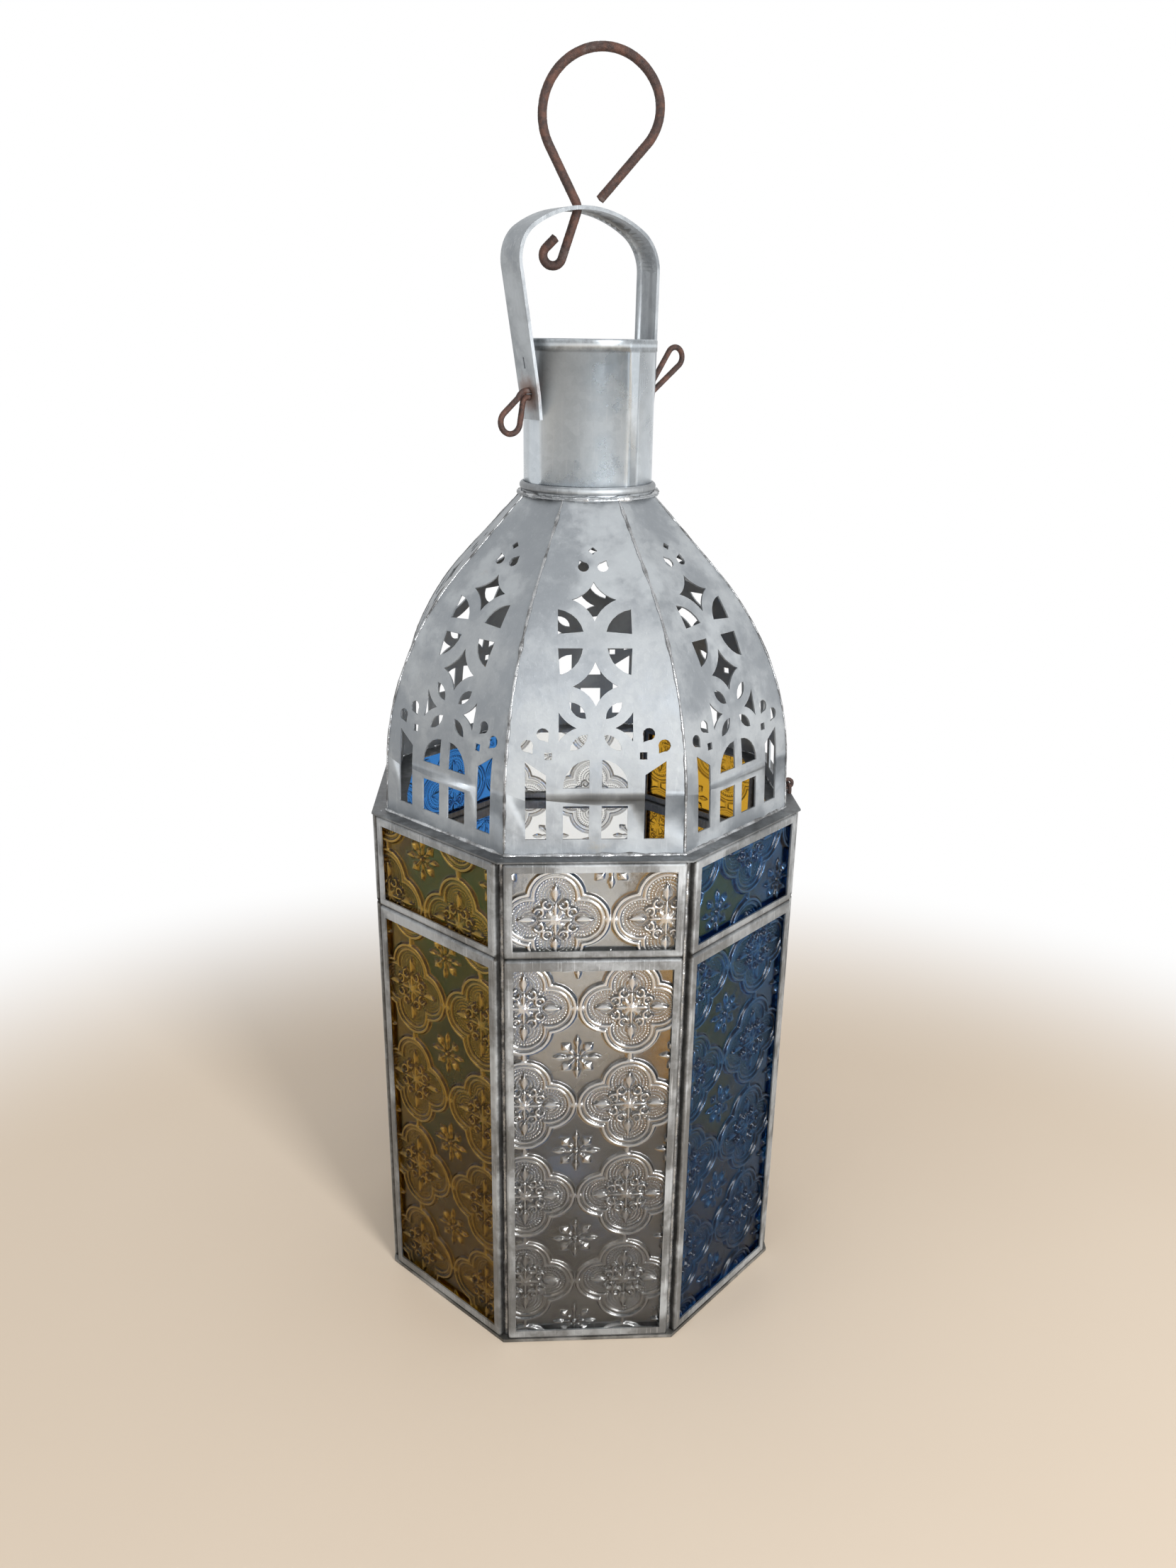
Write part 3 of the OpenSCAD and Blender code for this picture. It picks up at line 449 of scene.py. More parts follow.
# The darker tint is painted shade on the pattern's steep sides; the gleam colour is a painted
# highlight on what stands proud
GLASS = {
    "glass_clear": pressed_glass(
        "glass_clear",
        tint=(0.86, 0.86, 0.84),
        shade_tint=(0.19, 0.19, 0.185),
        highlight_colour=(0.84, 0.84, 0.83),
    ),
    "glass_blue": pressed_glass(
        "glass_blue",
        tint=(0.04, 0.19, 0.50),
        shade_tint=(0.003, 0.014, 0.06),
        highlight_colour=(0.08, 0.24, 0.50),
        share=0.26,
        index=1.27,
        foot_highlight=0.45,
    ),
    "glass_amber": pressed_glass(
        "glass_amber",
        tint=(0.56, 0.31, 0.026),
        shade_tint=(0.06, 0.026, 0.002),
        highlight_colour=(0.80, 0.50, 0.10),
        share=0.42,
        index=1.27,
        foot_highlight=0.55,
    ),
}

# Surfaces

BEAD_STEP = 0.7 * MM
BEAD_SIDES = 8
FEWEST_RINGS = 6
LONG_WANDER, SHORT_WANDER = 9, 3


def finish_piece(piece, material, body, slot, *nodes):
    """Gives a piece its material and its body, and hides the nodes that it stands for."""
    piece.data.materials.clear()
    piece.data.materials.append(material)
    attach(piece, body)
    if nodes:
        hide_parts(*nodes)
    return piece


def add_piece(name, points, polygons):
    """A smooth piece from lists of points and faces."""
    mesh = bpy.data.meshes.new(name)
    mesh.from_pydata(points, [], polygons)
    mesh.polygons.foreach_set("use_smooth", np.ones(len(mesh.polygons), bool))
    mesh.update()
    piece = bpy.data.objects.new(name, mesh)
    bpy.context.scene.collection.objects.link(piece)
    return piece


def grid_quads(rows, columns, closed=False):
    """Corner numbers of the quads of a grid of points, row by row. A closed grid's last
    column meets its first."""
    row, column = np.meshgrid(
        np.arange(rows - 1), np.arange(columns if closed else columns - 1), indexing="ij"
    )
    after = (column + 1) % columns
    corners = [row * columns + column, row * columns + after]
    corners += [(row + 1) * columns + after, (row + 1) * columns + column]
    return np.stack(corners, -1).reshape(-1, 4)


def tube_quads(rows, columns):
    """The faces of a closed tube of rings, and of the two poles that follow the rings in
    the list of points."""
    quads = grid_quads(rows, columns, closed=True)
    ring = np.arange(columns)
    after = (ring + 1) % columns
    first, last = rows * columns, rows * columns + 1
    low = np.stack([np.full(columns, first), after, ring], -1)
    high = np.stack([np.full(columns, last), ring, after], -1)
    high[:, 1:] += (rows - 1) * columns
    return quads.tolist() + low.tolist() + high.tolist()


def soft_noise(count, smooth, seed):
    """Numbers about -1 to 1 that wander: random ones, each averaged over its neighbours."""
    raw = np.random.default_rng(seed).normal(size=count + smooth)
    mean = np.convolve(raw, np.hanning(smooth + 2)[1:-1], "same")[:count]
    return mean / max(np.abs(mean).max(), 1e-9)


def bead_along(line, up, width, height, seed, lumps):
    """A lumpy bead along a line: each ring is an ellipse square to the line, its width
    across and its height along the up direction both scaled by one wandering number, and
    the rings close to a point at each end."""
    run = np.linalg.norm(np.diff(line, axis=0), axis=1)
    whole = np.concatenate([[0], np.cumsum(run)])
    count = max(int(whole[-1] / BEAD_STEP), FEWEST_RINGS)
    at = np.linspace(0, whole[-1], count)
    points = np.stack([np.interp(at, whole, line[:, i]) for i in range(3)], -1)
    along = np.gradient(points, axis=0)
    along /= np.linalg.norm(along, axis=1, keepdims=True)
    ups = np.broadcast_to(np.asarray(up, float), points.shape)
    side = np.cross(along, ups)
    side /= np.linalg.norm(side, axis=1, keepdims=True)
    ups = np.cross(side, along)
    wander = lumps * soft_noise(count, LONG_WANDER, seed)
    swell = 1 + wander + 0.6 * lumps * soft_noise(count, SHORT_WANDER, seed + 1)
    angle = np.linspace(0, 2 * math.pi, BEAD_SIDES, endpoint=False)
    across = np.cos(angle)[None, :, None] * side[:, None] * width / 2
    lifted = np.sin(angle)[None, :, None] * ups[:, None] * height / 2
    rings = points[:, None] + (across + lifted) * swell[:, None, None]
    poles = np.stack([points[0] - along[0] * height / 2, points[-1] + along[-1] * height / 2])
    return np.concatenate([rings.reshape(-1, 3), poles]), tube_quads(count, BEAD_SIDES)


def joined(name, parts):
    """One piece from several pairs of points and faces, with its normals outwards."""
    points, polygons, base = [], [], 0
    for part_points, part_faces in parts:
        points.append(part_points)
        polygons += [[corner + base for corner in face] for face in part_faces]
        base += len(part_points)
    piece = add_piece(name, np.concatenate(points).tolist(), polygons)
    mesh = bmesh.new()
    mesh.from_mesh(piece.data)
    bmesh.ops.recalc_face_normals(mesh, faces=mesh.faces)
    mesh.to_mesh(piece.data)
    mesh.free()
    return piece


def turned(points, face):
    """Points of the front carried round to another face."""
    c, s = math.cos(face * FACE_TURN), math.sin(face * FACE_TURN)
    x, y, z = np.moveaxis(np.asarray(points, float), -1, 0)
    return np.stack([c * x - s * y, s * x + c * y, z], -1)


# Pressed panes, in millimetres. A leaf is given by its start, its end and its half width.

PITCH_ACROSS = 37.0
PITCH_UP = 39.0
RELIEF = 1.25
PANE_STEP = 0.38
STEEPEST = 1.5

LOBE_SHIFT = 8.5
LOBE_R = 9.0
LOBES = [(LOBE_SHIFT, 0), (-LOBE_SHIFT, 0), (0, LOBE_SHIFT), (0, -LOBE_SHIFT)]
OUTER_LINE_AT, OUTER_LINE_WIDTH, OUTER_LINE_HEIGHT = 0.1, 0.8, 0.95
INNER_LINE_AT, INNER_LINE_WIDTH, INNER_LINE_HEIGHT = -1.7, 0.6, 0.62
CROSS_LEAF = (6.4, 13.2, 1.8)
CROSS_FOOT = (0.9, 6.4, 1.1)
SCROLL_U, SCROLL_V, SCROLL_R, SCROLL_WIDTH = 5.6, 2.7, 1.5, 0.6
SCROLL_LOW_V, SCROLL_OPEN = 0.8, 4.6
STEM_WIDTH, STEM_REACH = 0.8, 3.6
CROSS_BALL_R = 1.3
GROUND_EDGE = -2.4
BEAD_PITCH = 1.15
BEADS_ROUND = 36

ROSETTE_FOOT = 2.9
SLENDER_END, SLENDER_HALF = 8.9, 1.5
BROAD_END, BROAD_HALF = 7.9, 2.35
ROSETTE_PETAL = (1.2, 4.3, 0.95)
ROSETTE_BALL_R = 1.0
ROSETTE_ROOM = 1.2
BAR_WIDTH, BAR_REACH, BAR_HEIGHT = 0.9, 2.2, 0.8
HAIR = 1e-6


def wrapped(value, pitch):
    """A distance from the nearest repeat of a pattern."""
    return (value + pitch / 2) % pitch - pitch / 2


def ridge(distance, width, power=2):
    """A ridge: a bell of the distance from its middle line, flatter on top and steeper
    at its sides for a higher power."""
    return np.exp(-(np.abs(distance / width) ** power))


def ball(distance, radius):
    """The upper half of a ball, 1 high in the middle: a circle of the distance."""
    return np.sqrt(np.clip(1 - (distance / radius) ** 2, 0, 1))


def almond(u, v, start, end, half_width):
    """A leaf with two flat facets that meet in a sharp middle line: its half width goes
    from nothing at both ends to its greatest near the middle, as a sine does."""
    share = np.clip((u - start) / (end - start), 0, 1)
    width = half_width * np.sin(math.pi * share**0.85) + HAIR
    return np.clip(1 - np.abs(v) / width, 0, 1) * np.minimum(1, 6 * np.sin(math.pi * share))


def medallion(x, y):
    """Relief and bead ground round a medallion's middle: four round lobes with a double
    outline, and in them a cross of four leaves, a scroll on each side of each leaf's
    foot, a slanted stem between the feet, and a ball in the middle."""
    outline = np.min([np.hypot(x - a, y - b) - LOBE_R for a, b in LOBES], axis=0)
    across, along, radius = np.abs(x), np.abs(y), np.hypot(x, y)
    u, v = np.maximum(across, along), np.minimum(across, along)
    outer = OUTER_LINE_HEIGHT * ridge(outline - OUTER_LINE_AT, OUTER_LINE_WIDTH, 3)
    relief = outer + INNER_LINE_HEIGHT * ridge(outline - INNER_LINE_AT, INNER_LINE_WIDTH, 3)
    relief = np.maximum(relief, almond(u, v, *CROSS_LEAF))
    relief = np.maximum(relief, 0.9 * almond(u, v, *CROSS_FOOT))
    round_scroll = ridge(np.hypot(u - SCROLL_U, v - SCROLL_V) - SCROLL_R, SCROLL_WIDTH, 3)
    relief = np.maximum(relief, 0.9 * round_scroll * (v > SCROLL_LOW_V) * (u - v < SCROLL_OPEN))
    slanted = ridge(np.abs(u - v) / math.sqrt(2), STEM_WIDTH)
    relief = np.maximum(relief, 0.5 * slanted * (radius < STEM_REACH))
    relief = np.maximum(relief, ball(radius, CROSS_BALL_R))
    ground = (outline < GROUND_EDGE) & (relief < 0.1)
    return relief, ground.astype(float), outline


def rosette(x, y):
    """Relief round a rosette's middle: eight faceted leaves in a ring, slender on the
    axes and broad between them, a petal at the foot of each, and a ball. A leaf's half
    width rises straight to its middle and falls straight."""
    radius, angle = np.hypot(x, y), np.arctan2(y, x)
    eighth = math.pi / 4
    fold = (angle + eighth / 2) % eighth - eighth / 2
    u, v = radius * np.cos(fold), radius * np.sin(fold)
    slender = np.abs((angle + eighth) % (2 * eighth) - eighth) < eighth / 2
    end, half = np.where(slender, SLENDER_END, BROAD_END), np.where(slender, SLENDER_HALF, BROAD_HALF)
    share = np.clip((u - ROSETTE_FOOT) / (end - ROSETTE_FOOT), 0, 1)
    width = half * np.minimum(share / 0.5, (1 - share) / 0.5) + HAIR
    relief = np.clip(1 - np.abs(v) / width, 0, 1) * np.minimum(1, 5 * share * (1 - share))
    relief = np.maximum(relief, 0.7 * almond(u, v, *ROSETTE_PETAL))
    return np.maximum(relief, ball(radius, ROSETTE_BALL_R))


def pressed_relief(s, t):
    """Relief from 0 to about 1 at places across and up a pane, from the middle of a
    medallion: medallions stand in rows and columns, small bars join them, and a rosette
    fills the space between each four."""
    x, y = wrapped(s, PITCH_ACROSS), wrapped(t, PITCH_UP)
    relief, ground, outline = medallion(x, y)
    away_x, away_y = PITCH_ACROSS / 2 - np.abs(x), PITCH_UP / 2 - np.abs(y)
    relief = np.maximum(relief, rosette(away_x, away_y) * (outline > ROSETTE_ROOM))
    bar_level = ridge(y, BAR_WIDTH) * (away_x < BAR_REACH)
    bar_upright = ridge(x, BAR_WIDTH) * (away_y < BAR_REACH)
    return np.maximum(relief, BAR_HEIGHT * np.maximum(bar_level, bar_upright)), ground


def bead_map(s, t):
    """Map of the rows of beads at the corners of a pane's faces, four to a row: the
    distance from the outline of the lobe that the face's middle is in, in bead pitches,
    and the angle round that lobe, in beads, so that the rows follow the outline."""
    x, y = wrapped(s, PITCH_ACROSS), wrapped(t, PITCH_UP)
    middle_x, middle_y = x.mean(1, keepdims=True), y.mean(1, keepdims=True)
    lobes = np.array(LOBES)
    nearest = np.argmin(np.hypot(middle_x - lobes[:, 0], middle_y - lobes[:, 1]), axis=1)
    away_x, away_y = x - lobes[nearest, :1], y - lobes[nearest, 1:]
    mid_x, mid_y = away_x.mean(1, keepdims=True), away_y.mean(1, keepdims=True)
    middle_turn = np.arctan2(mid_y, mid_x)
    turn = middle_turn + wrapped(np.arctan2(away_y, away_x) - middle_turn, 2 * math.pi)
    radius = np.hypot(away_x, away_y) - LOBE_R
    return np.stack([radius / BEAD_PITCH, turn * BEADS_ROUND / (2 * math.pi)], -1).reshape(-1, 2)


def pressed_pane(name, face, low, high, centre, tint, body, node):
    """A pane: the outer side is a grid sunk below the slab's face where the relief is
    low, and the inner side is flat, with plain edges between them. Low and high are the
    slab's lowest and highest corners as it stands on the front."""
    columns, rows = [int((high[i] - low[i]) / PANE_STEP) for i in (0, 2)]
    s = np.linspace(low[0], high[0], columns)
    t = np.linspace(low[2], high[2], rows)
    across, up = np.meshgrid(s, t)
    relief, ground = pressed_relief(across - centre[0], up - centre[1])
    front = np.stack([across, low[1] + RELIEF * (1 - relief), up], -1).reshape(-1, 3)
    number = np.arange(rows * columns).reshape(rows, columns)
    rim = np.concatenate([number[0], number[1:, -1], number[-1, -2::-1], number[-2:0:-1, 0]])
    back = front[rim].copy()
    back[:, 1] = high[1]
    ring = len(front) + np.arange(len(rim))
    walls = np.stack([np.roll(rim, -1), rim, ring, np.roll(ring, -1)], -1)
    quads = grid_quads(rows, columns)
    polygons = quads.tolist() + walls.tolist() + [ring[::-1].tolist()]
    points = turned(np.concatenate([front, back]), face) * MM
    piece = add_piece(name, points.tolist(), polygons)
    mesh = piece.data
    mesh.polygons.foreach_set("use_smooth", np.arange(len(polygons)) < len(quads))
    # Slope and height of the relief, which the glass uses for its painted shade and painted highlight
    slope_up, slope_across = np.gradient(relief * RELIEF, t, s)
    steep = np.clip(np.hypot(slope_up, slope_across) / STEEPEST, 0, 1)
    for label, values in (("bead_ground", ground), ("proud", relief), ("steep", steep)):
        values = np.concatenate([values.ravel(), np.zeros(len(rim))])
        mesh.attributes.new(label, "FLOAT", "POINT").data.foreach_set("value", values)
    beads = np.zeros((len(mesh.loops), 2))
    beads[: quads.size] = bead_map(front[quads, 0] - centre[0], front[quads, 2] - centre[1])
    mesh.uv_layers.new(name="beads").data.foreach_set("uv", beads.ravel())
    return finish_piece(piece, GLASS[tint], body, tint, node)


TINTS = ["glass_clear", "glass_blue", "glass_clear", "glass_amber"] * 2

# Middle of one medallion on each pane, across and up, where the photograph shows it
SEEN_CENTRES = {
    ("lower", 0): (13.3, 105.3),
    ("upper", 0): (-13.0, 178.0),
    ("lower", 1): (12.4, 111.0),
    ("upper", 1): (3.5, 194.0),
    ("lower", 7): (-15.3, 95.0),
    ("upper", 7): (11.5, 169.0),
}
# How far the pattern moves from one unseen pane to the next
UNSEEN_SHIFT_ACROSS, UNSEEN_SHIFT_UP = 7.3, 11.9


def make_panes():
    """All 16 panes. The door's stand on the right, so their slabs are read sideways."""
    for face, face_name in enumerate(FACES):
        for tier in ("lower", "upper"):
            unseen = ((UNSEEN_SHIFT_ACROSS * face) % PITCH_ACROSS, (UNSEEN_SHIFT_UP * face) % PITCH_UP)
            centre = SEEN_CENTRES.get((tier, face), unseen)
            if face == DOOR_FACE:
                node, body = f"door_glass_{tier}", "door"
                low, high = [np.array(corner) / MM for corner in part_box(node)]
                low, high = np.array([low[1], -high[0], low[2]]), np.array([high[1], -low[0], high[2]])
            else:
                node, body = f"{tier}_glass_{face_name}", "lantern"
                low, high = [np.array(corner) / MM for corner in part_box(f"{tier}_glass_front")]
            pressed_pane(f"pane_{tier}_{face_name}", face, low, high, centre, TINTS[face], body, node)


make_panes()

# Dome. Its bend's sizes are those at the head of part.scad.

SKIRT_LENGTH = 19 * MM
SKIRT_LEAN = math.radians(2.5)
BEND_R = 105 * MM
TOP_LEAN = math.radians(42)
DOME_FOOT_R = -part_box("dome_panel_front")[0].y
DOME_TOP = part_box("dome_panel_front")[1].z
SKIRT_END_R = DOME_FOOT_R - SKIRT_LENGTH * math.sin(SKIRT_LEAN)
SKIRT_END_Z = LEDGE_TOP + SKIRT_LENGTH * math.cos(SKIRT_LEAN)
BEND_CENTRE_R = SKIRT_END_R - BEND_R * math.cos(SKIRT_LEAN)
BEND_CENTRE_Z = SKIRT_END_Z - BEND_R * math.sin(SKIRT_LEAN)
BEND_END_R = BEND_CENTRE_R + BEND_R * math.cos(TOP_LEAN)
BEND_END_Z = BEND_CENTRE_Z + BEND_R * math.sin(TOP_LEAN)
NECK_R = BEND_END_R - (DOME_TOP - BEND_END_Z) * math.tan(TOP_LEAN)
SAME_POINT = 1e-7
SHEET_FACING = 0.9
SHARP_FOLD = math.radians(28)


def merged_copy(node, name):
    """A node's mesh under a new name, with its loose corners made one."""
    mesh = bmesh.new()
    mesh.from_mesh(frame["nodes"][node].data)
    bmesh.ops.remove_doubles(mesh, verts=mesh.verts, dist=SAME_POINT)
    data = bpy.data.meshes.new(name)
    mesh.to_mesh(data)
    mesh.free()
    piece = bpy.data.objects.new(name, data)
    bpy.context.scene.collection.objects.link(piece)
    data.polygons.foreach_set("use_smooth", np.ones(len(data.polygons), bool))
    return piece


def gore_normals(points, face):
    """The way out of a gore's sheet at points of it: level but for the lean, which is the
    skirt's below the bend, the top's above it, and in between follows the bend's radius."""
    local = turned(points, -face)
    lean = np.arctan2(local[:, 2] - BEND_CENTRE_Z, -local[:, 1] - BEND_CENTRE_R)
    lean = np.clip(lean, SKIRT_LEAN, TOP_LEAN)
    flat = np.stack([np.zeros(len(lean)), -np.cos(lean), np.sin(lean)], -1)
    return turned(flat, face)


def make_gores():
    """The gores. Faces of the sheet's two sides get the bend's own normals, and the cut
    edges of the piercings stay flat."""
    for face, face_name in enumerate(FACES):
        node = f"dome_panel_{face_name}"
        piece = merged_copy(node, f"dome_gore_{face_name}")
        mesh = piece.data
        points = np.zeros(len(mesh.vertices) * 3)
        mesh.vertices.foreach_get("co", points)
        corners = np.zeros(len(mesh.loops), int)
        mesh.loops.foreach_get("vertex_index", corners)
        facets = np.zeros(len(mesh.polygons) * 3)
        mesh.polygons.foreach_get("normal", facets)
        sizes = np.zeros(len(mesh.polygons), int)
        mesh.polygons.foreach_get("loop_total", sizes)
        facets = np.repeat(facets.reshape(-1, 3), sizes, axis=0)
        outward = gore_normals(points.reshape(-1, 3)[corners], face)
        facing = (facets * outward).sum(1)
        normals = np.where(facing[:, None] > SHEET_FACING, outward, facets)
        normals = np.where(facing[:, None] < -SHEET_FACING, -outward, normals)
        mesh.normals_split_custom_set(normals.tolist())
        finish_piece(piece, DOME_TIN, "lantern", "zinc_dome", node)


make_gores()

# Sheet pieces


def smooth_piece(node, name, material, body, slot):
    """A node's own form, smooth but for its sharp folds."""
    piece = merged_copy(node, name)
    piece.data.set_sharp_from_angle(angle=SHARP_FOLD)
    return finish_piece(piece, material, body, slot, node)


smooth_piece("chimney_tube", "chimney", CHIMNEY_TIN, "lantern", "zinc_tin")
smooth_piece("chimney_collar", "collar", TIN, "lantern", "zinc_tin")
smooth_piece("handle_strap", "strap_handle", STRAP_TIN, "handle", "zinc_tin")
smooth_piece("candle_cup", "tealight_cup", TIN, "lantern", "zinc_tin")


def finish_nodes():
    """A finish for each node that is seen as its own solid."""
    for name, node in frame["nodes"].items():
        if node.hide_render:
            continue
        material = TIN
        if name == "base_plate":
            material = SOOTY_TIN
        elif "frame" in name or "leaf" in name:
            material = FRAME_TIN
        elif "hinge_pin" in name:
            material = WIRE
        node.data.materials.clear()
        node.data.materials.append(material)


finish_nodes()

# Wires, in millimetres. The sizes of the solids that they stand for are part.scad's.

WIRE_SIDES = 14
WIRE_STEP = 0.3
CHIMNEY_R = 22.6
SHEET = 0.6
STRAP_PIVOT_U = 24.914

HOOK_WIRE = 3
HOOK_AZIMUTH = math.radians(-4)
HOOK_HEADING = 94.6
HOOK_BEND_R, HOOK_HALF_BEND = 4.5, 23.6
LOOP_STEPS = [(18.3, 19, -181), (0, 15, -69.7), (22, 0, 0)]
CURL_STEPS = [(14.4, 3.2, -207), (4.4, 0, 0)]

PIN_WIRE, PIN_PLAY = 2.0, 0.1
PIN_BEND_R, PIN_TAIL, PIN_FLARE_R = 1.5, 5.0, 3.0

LATCH_WIRE, LATCH_EYE_R, LATCH_EYE_TURN = 1.4, 1.6, 285
LATCH_LENGTH = 7.1
LATCH_OPEN = math.radians(202)
STAPLE_WIDTH = 8.0


def bent_line(steps, heading=0.0):
    """Points of a wire bent in one plane, as complex millimetres: each step is a straight
    run and then an arc, with the radius given, whose centre lies on the side it turns to."""
    place, way = 0j, np.exp(1j * math.radians(heading))
    points = [np.array([place])]
    for run, radius, turn in steps:
        if run:
            points.append(place + way * np.linspace(0, run, max(int(run / WIRE_STEP), 2))[1:])
            place += way * run
        if turn:
            side = math.copysign(1, turn)
            centre = place + 1j * side * radius * way
            count = max(int(abs(math.radians(turn)) * radius / WIRE_STEP), 8)
            angles = side * np.linspace(0, abs(math.radians(turn)), count)[1:]
            points.append(centre + (place - centre) * np.exp(1j * angles))
            place = points[-1][-1]
            way *= np.exp(1j * math.radians(turn))
    return np.concatenate(points)


def wire_piece(name, line, thickness, axis_u, axis_v, origin, body, node, seed):
    """A round wire along a plane line: rings square to it, their radius wandering a
    little with the rust, and a low dome closing each end."""
    axis_u, axis_v = np.array(axis_u, float), np.array(axis_v, float)
    points = (line.real[:, None] * axis_u + line.imag[:, None] * axis_v) * MM + np.array(origin)
    way = np.gradient(line)
    way /= np.abs(way)
    side = (1j * way).real[:, None] * axis_u + (1j * way).imag[:, None] * axis_v
    along = way.real[:, None] * axis_u + way.imag[:, None] * axis_v
    across = np.cross(axis_u, axis_v)
    radius = thickness / 2 * MM
    pits = np.random.default_rng(seed).normal(size=(len(line), WIRE_SIDES)) * 0.012
    swell = 0.985 + 0.015 * soft_noise(len(line), 15, seed)[:, None] + pits
    angle = np.linspace(0, 2 * math.pi, WIRE_SIDES, endpoint=False)
    rings = np.cos(angle)[None, :, None] * side[:, None] + np.sin(angle)[None, :, None] * across
    rings = points[:, None] + rings * (radius * swell)[:, :, None]
    poles = np.stack([points[0] - along[0] * radius * 0.2, points[-1] + along[-1] * radius * 0.2])
    surface = (np.concatenate([rings.reshape(-1, 3), poles]), tube_quads(len(line), WIRE_SIDES))
    return finish_piece(joined(name, [surface]), WIRE, body, "rusty_wire", node)


def make_hook():
    """The hook: from its end at the loop, through the hole in the strap, to the curl."""
    loop = bent_line([(0, HOOK_BEND_R, HOOK_HALF_BEND), *LOOP_STEPS], HOOK_HEADING)
    curl = bent_line([(0, HOOK_BEND_R, -HOOK_HALF_BEND), *CURL_STEPS], HOOK_HEADING + 180)
    line = np.concatenate([loop[::-1], curl[1:]])
    level = (math.cos(HOOK_AZIMUTH), math.sin(HOOK_AZIMUTH), 0)
    wire_piece("wire_hook", line, HOOK_WIRE, level, (0, 0, 1), HOOK_HOLE, "hook", "hanging_hook", 11)


def make_pin(name, eye_width, flare, tilt, azimuth, node, seed):
    """A pin of wire folded double: a tail and a bend inside the tube, a leg out through
    tube and strap, the eye, and the same way back. Flare and tilt are in degrees."""
    pitch, bend_r = PIN_WIRE + PIN_PLAY, PIN_BEND_R
    start = CHIMNEY_R - SHEET - 0.1 * PIN_WIRE - PIN_WIRE / 2
    shank = STRAP_PIVOT_U + PIN_WIRE / 3 - start - bend_r
    eye_r, lean = eye_width / 2, math.radians(flare)
    run = (eye_r * math.cos(lean) - pitch / 2 - PIN_FLARE_R * (1 - math.cos(lean))) / math.sin(lean)
    first, last = (bend_r + pitch, bend_r) if tilt < 0 else (bend_r, bend_r + pitch)
    steps = [(PIN_TAIL, bend_r, 90), (shank, first, tilt), (0, PIN_FLARE_R, flare)]
    steps += [(run, eye_r, -180 - 2 * flare), (run, PIN_FLARE_R, flare), (0, last, -tilt)]
    steps += [(shank, bend_r, 90), (PIN_TAIL, 0, 0)]
    line = bent_line(steps, -90) + start
    level = (math.cos(azimuth), math.sin(azimuth), 0)
    origin = (0, 0, HANDLE_PIVOT[2] + (pitch / 2 + bend_r + PIN_TAIL) * MM)
    wire_piece(name, line, PIN_WIRE, level, (0, 0, 1), origin, "lantern", node, seed)


def make_latch():
    """The staple on the ledge, and the latch hook with its eye round the staple's bar."""
    wire, eye_r = LATCH_WIRE, LATCH_EYE_R
    leg = (LATCH_BAR[2] - LEDGE_TOP) / MM - wire
    bridge = bent_line([(leg, wire, 90), (STAPLE_WIDTH - 2 * wire, wire, 90), (leg, 0, 0)])
    foot = (LATCH_BAR[0], LATCH_BAR[1] + STAPLE_WIDTH / 2 * MM, LEDGE_TOP)
    wire_piece("staple", bridge, wire, (0, 0, 1), (0, -1, 0), foot, "lantern", "latch_staple", 31)
    hook = bent_line([(LATCH_LENGTH, eye_r, LATCH_EYE_TURN)]) - LATCH_LENGTH - 1j * eye_r
    level = (-math.cos(LATCH_OPEN), 0, -math.sin(LATCH_OPEN))
    upright = (-math.sin(LATCH_OPEN), 0, math.cos(LATCH_OPEN))
    wire_piece("latch", hook, wire, upright, level, LATCH_BAR, "latch", "latch_hook", 32)


handle_azimuth = math.atan2(HANDLE_AXIS[1], HANDLE_AXIS[0])
make_hook()
make_pin("pin_left", 7.6, 20, -60, handle_azimuth + math.pi, "handle_pin_left", 21)
make_pin("pin_right", 6.8, 9, 46, handle_azimuth, "handle_pin_right", 22)
make_latch()

# Solder. Each seam is given by its width, its height and its share of lumps.

FRAME_BACK = -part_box("lower_frame_front")[1].y
CORNER_SEAM = (2.2 * MM, 2.0 * MM)
GORE_SEAM = (1.0 * MM, 0.55 * MM)
FOOT_SEAM = (2.0 * MM, 1.3 * MM)
NECK_SEAM = (2.6 * MM, 1.7 * MM)
CORNER_LUMPS, GORE_LUMPS, FOOT_LUMPS, NECK_LUMPS = 0.22, 0.45, 0.5, 0.8
CORNER_SEAM_OUT = 1.0 * MM
NECK_SEAM_OUT, NECK_SEAM_LIFT = 0.9, 0.3 * MM
GORE_POINTS, NECK_POINTS = 60, 90


def corner_way(corner):
    """The level way out of the corner between a face and the next one round."""
    azimuth = -math.pi / 2 + FACE_TURN * corner + HALF_FACE
    return np.array([math.cos(azimuth), math.sin(azimuth), 0])


def gore_line():
    """Radius and height of the gore's outer face from its foot to its neck."""
    lean = np.linspace(SKIRT_LEAN, TOP_LEAN, GORE_POINTS)
    bend = np.stack([BEND_CENTRE_R + BEND_R * np.cos(lean), BEND_CENTRE_Z + BEND_R * np.sin(lean)], -1)
    return np.concatenate([[[DOME_FOOT_R, LEDGE_TOP]], bend, [[NECK_R, DOME_TOP]]])


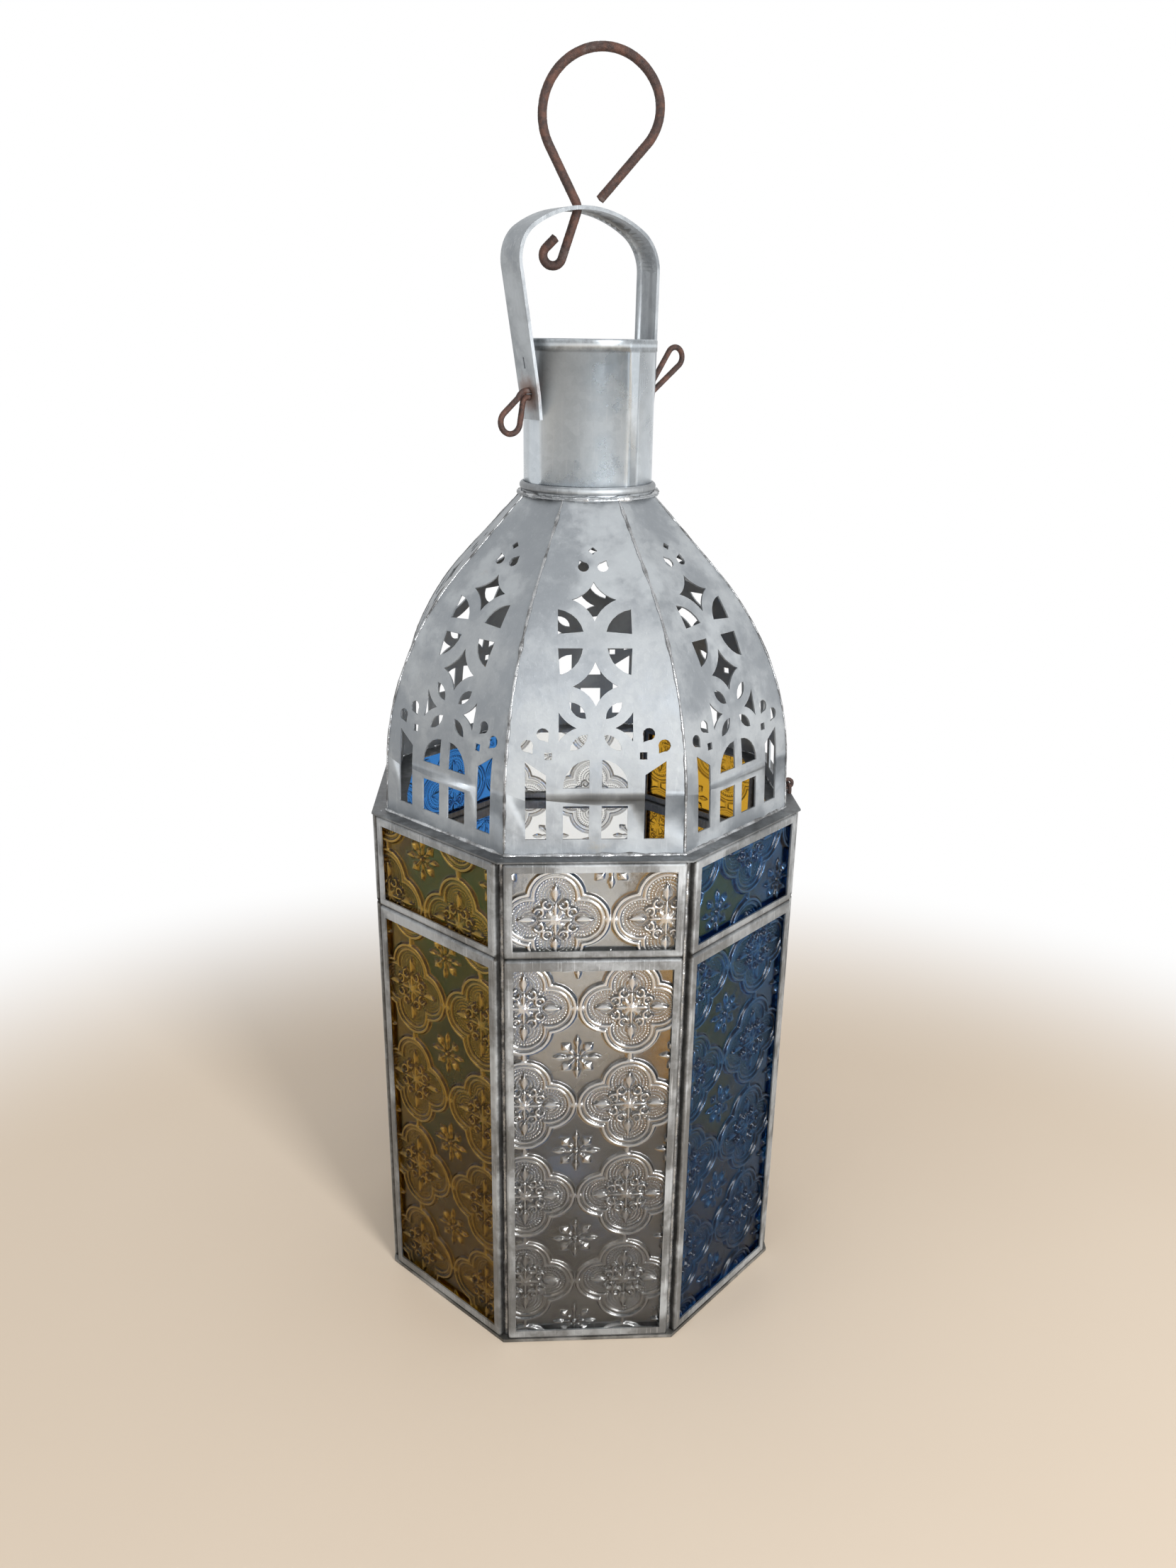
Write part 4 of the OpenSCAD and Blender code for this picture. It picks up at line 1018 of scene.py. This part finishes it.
def make_solder():
    """Seams up the body's corners but for the door's, up the gores' edges, along the
    dome's foot and round its neck, one piece for each kind."""
    upright, corner_seams, gore_seams, foot_seams = np.array([0, 0, 1.0]), [], [], []
    profile = gore_line()
    half = DOME_FOOT_R * math.tan(HALF_FACE)
    for corner in range(len(FACES)):
        way = corner_way(corner)
        if corner not in DOOR_CORNERS:
            groove = way * (FRAME_BACK / math.cos(HALF_FACE) + CORNER_SEAM_OUT)
            line = np.stack([groove + upright * z for z in (LOWER_Z, LEDGE_Z)])
            corner_seams.append(bead_along(line, way, *CORNER_SEAM, 100 + corner, CORNER_LUMPS))
        line = way * profile[:, :1] / math.cos(HALF_FACE) + upright * profile[:, 1:]
        gore_seams.append(bead_along(line, way, *GORE_SEAM, 120 + corner, GORE_LUMPS))
    for face in range(len(FACES)):
        line = turned([[-half, -DOME_FOOT_R, LEDGE_TOP], [half, -DOME_FOOT_R, LEDGE_TOP]], face)
        out = turned([0, -1, 1], face)
        foot_seams.append(bead_along(line, out, *FOOT_SEAM, 140 + face, FOOT_LUMPS))
    turn = np.linspace(0, 2 * math.pi, NECK_POINTS)
    neck = np.stack([np.cos(turn), np.sin(turn), 0 * turn], -1) * (CHIMNEY_R + NECK_SEAM_OUT) * MM
    neck[:, 2] = DOME_TOP + NECK_SEAM_LIFT
    neck_seam = bead_along(neck, (0, 0, 1), *NECK_SEAM, 170, NECK_LUMPS)
    for name, parts, finish in (
        ("solder_corners", corner_seams, DULL_SOLDER),
        ("solder_gores", gore_seams, DULL_SOLDER),
        ("solder_foot", foot_seams, SOLDER),
        ("solder_neck", [neck_seam], SOLDER),
    ):
        finish_piece(joined(name, parts), finish, "lantern", "zinc_tin")


make_solder()

# Studio

FLOOR_MIDDLE_Y = -0.25
FLOOR_PALE_R = 0.38
FLOOR_WHITE_R = 0.62
FLOOR_HALF = 6
FLOOR_DROP = 0.2 * MM
WHITE = (1, 1, 1, 1)
PLAIN_LEVEL = 0.76
DARKEST_BACKDROP = 0.64
LAMP_AIM = (0, 0, 0.2)


def make_floor():
    """A plain pale floor. Away from the object it fades to white for the camera, for
    mirrors and for glass: from one distance from the middle of the view to another."""
    m = Finish("floor")
    x, y, _ = m.parts(m.place())
    y = y - FLOOR_MIDDLE_Y
    far = m.step(x * x + y * y, FLOOR_PALE_R**2, FLOOR_WHITE_R**2)
    colour = m.tint(m.noise(m.place(), scale=3, detail=3), (0.57, 0.47, 0.365), (0.62, 0.525, 0.42))
    pale = m.principled(Base_Color=colour, Roughness=0.7)
    white = m.node("ShaderNodeEmission", None, {"Color": WHITE, "Strength": 1.0})
    seen = m.seen("Is Camera Ray", "Is Glossy Ray", "Is Transmission Ray")
    material = m.mixed(far * seen, pale, white)
    x, y = np.meshgrid(*[np.linspace(-FLOOR_HALF, FLOOR_HALF, 3)] * 2)
    points = np.stack([x, y, 0 * x - FLOOR_DROP], -1).reshape(-1, 3)
    floor = add_piece("floor", points.tolist(), grid_quads(3, 3).tolist())
    floor.data.materials.append(material)


def soft_lamp(name, place, width, height, power):
    """A rectangular lamp that faces the middle of the lantern."""
    lamp = bpy.data.lights.new(name, "AREA")
    lamp.shape, lamp.size, lamp.size_y, lamp.energy = "RECTANGLE", width, height, power
    holder = bpy.data.objects.new(name, lamp)
    bpy.context.scene.collection.objects.link(holder)
    way = Vector(place) - Vector(LAMP_AIM)
    holder.matrix_world = Matrix.Translation(place) @ way.to_track_quat("Z", "Y").to_matrix().to_4x4()


def make_studio():
    """White for the camera. For mirrors and glass it is white behind and above the
    object and darker on the side of the camera, and the rest gets one plain level."""
    world = bpy.data.worlds.new("studio")
    bpy.context.scene.world = world
    m = Finish("studio", world)
    x, y, z = m.parts(m.node("ShaderNodeTexCoord", out="Generated"))
    backdrop = m.step(x * 0.2 + y * 0.6 + z * 0.9, -0.6, 0.5, DARKEST_BACKDROP, 1.0)
    camera, mirrored = m.seen("Is Camera Ray"), m.seen("Is Glossy Ray", "Is Transmission Ray")
    level = mirrored * backdrop + (1 - mirrored) * PLAIN_LEVEL
    strength = camera + (1 - camera) * level
    glow = m.node("ShaderNodeBackground", None, {"Color": WHITE, "Strength": strength})
    m.node("ShaderNodeOutputWorld", None, {"Surface": glow})
    soft_lamp("window", (0.66, -1.14, 0.46), width=0.30, height=0.95, power=24)
    soft_lamp("fill", (-1.5, -1.0, 1.3), width=1.2, height=1.2, power=8)


make_floor()
make_studio()
bpy.context.scene.view_settings.view_transform = "Standard"
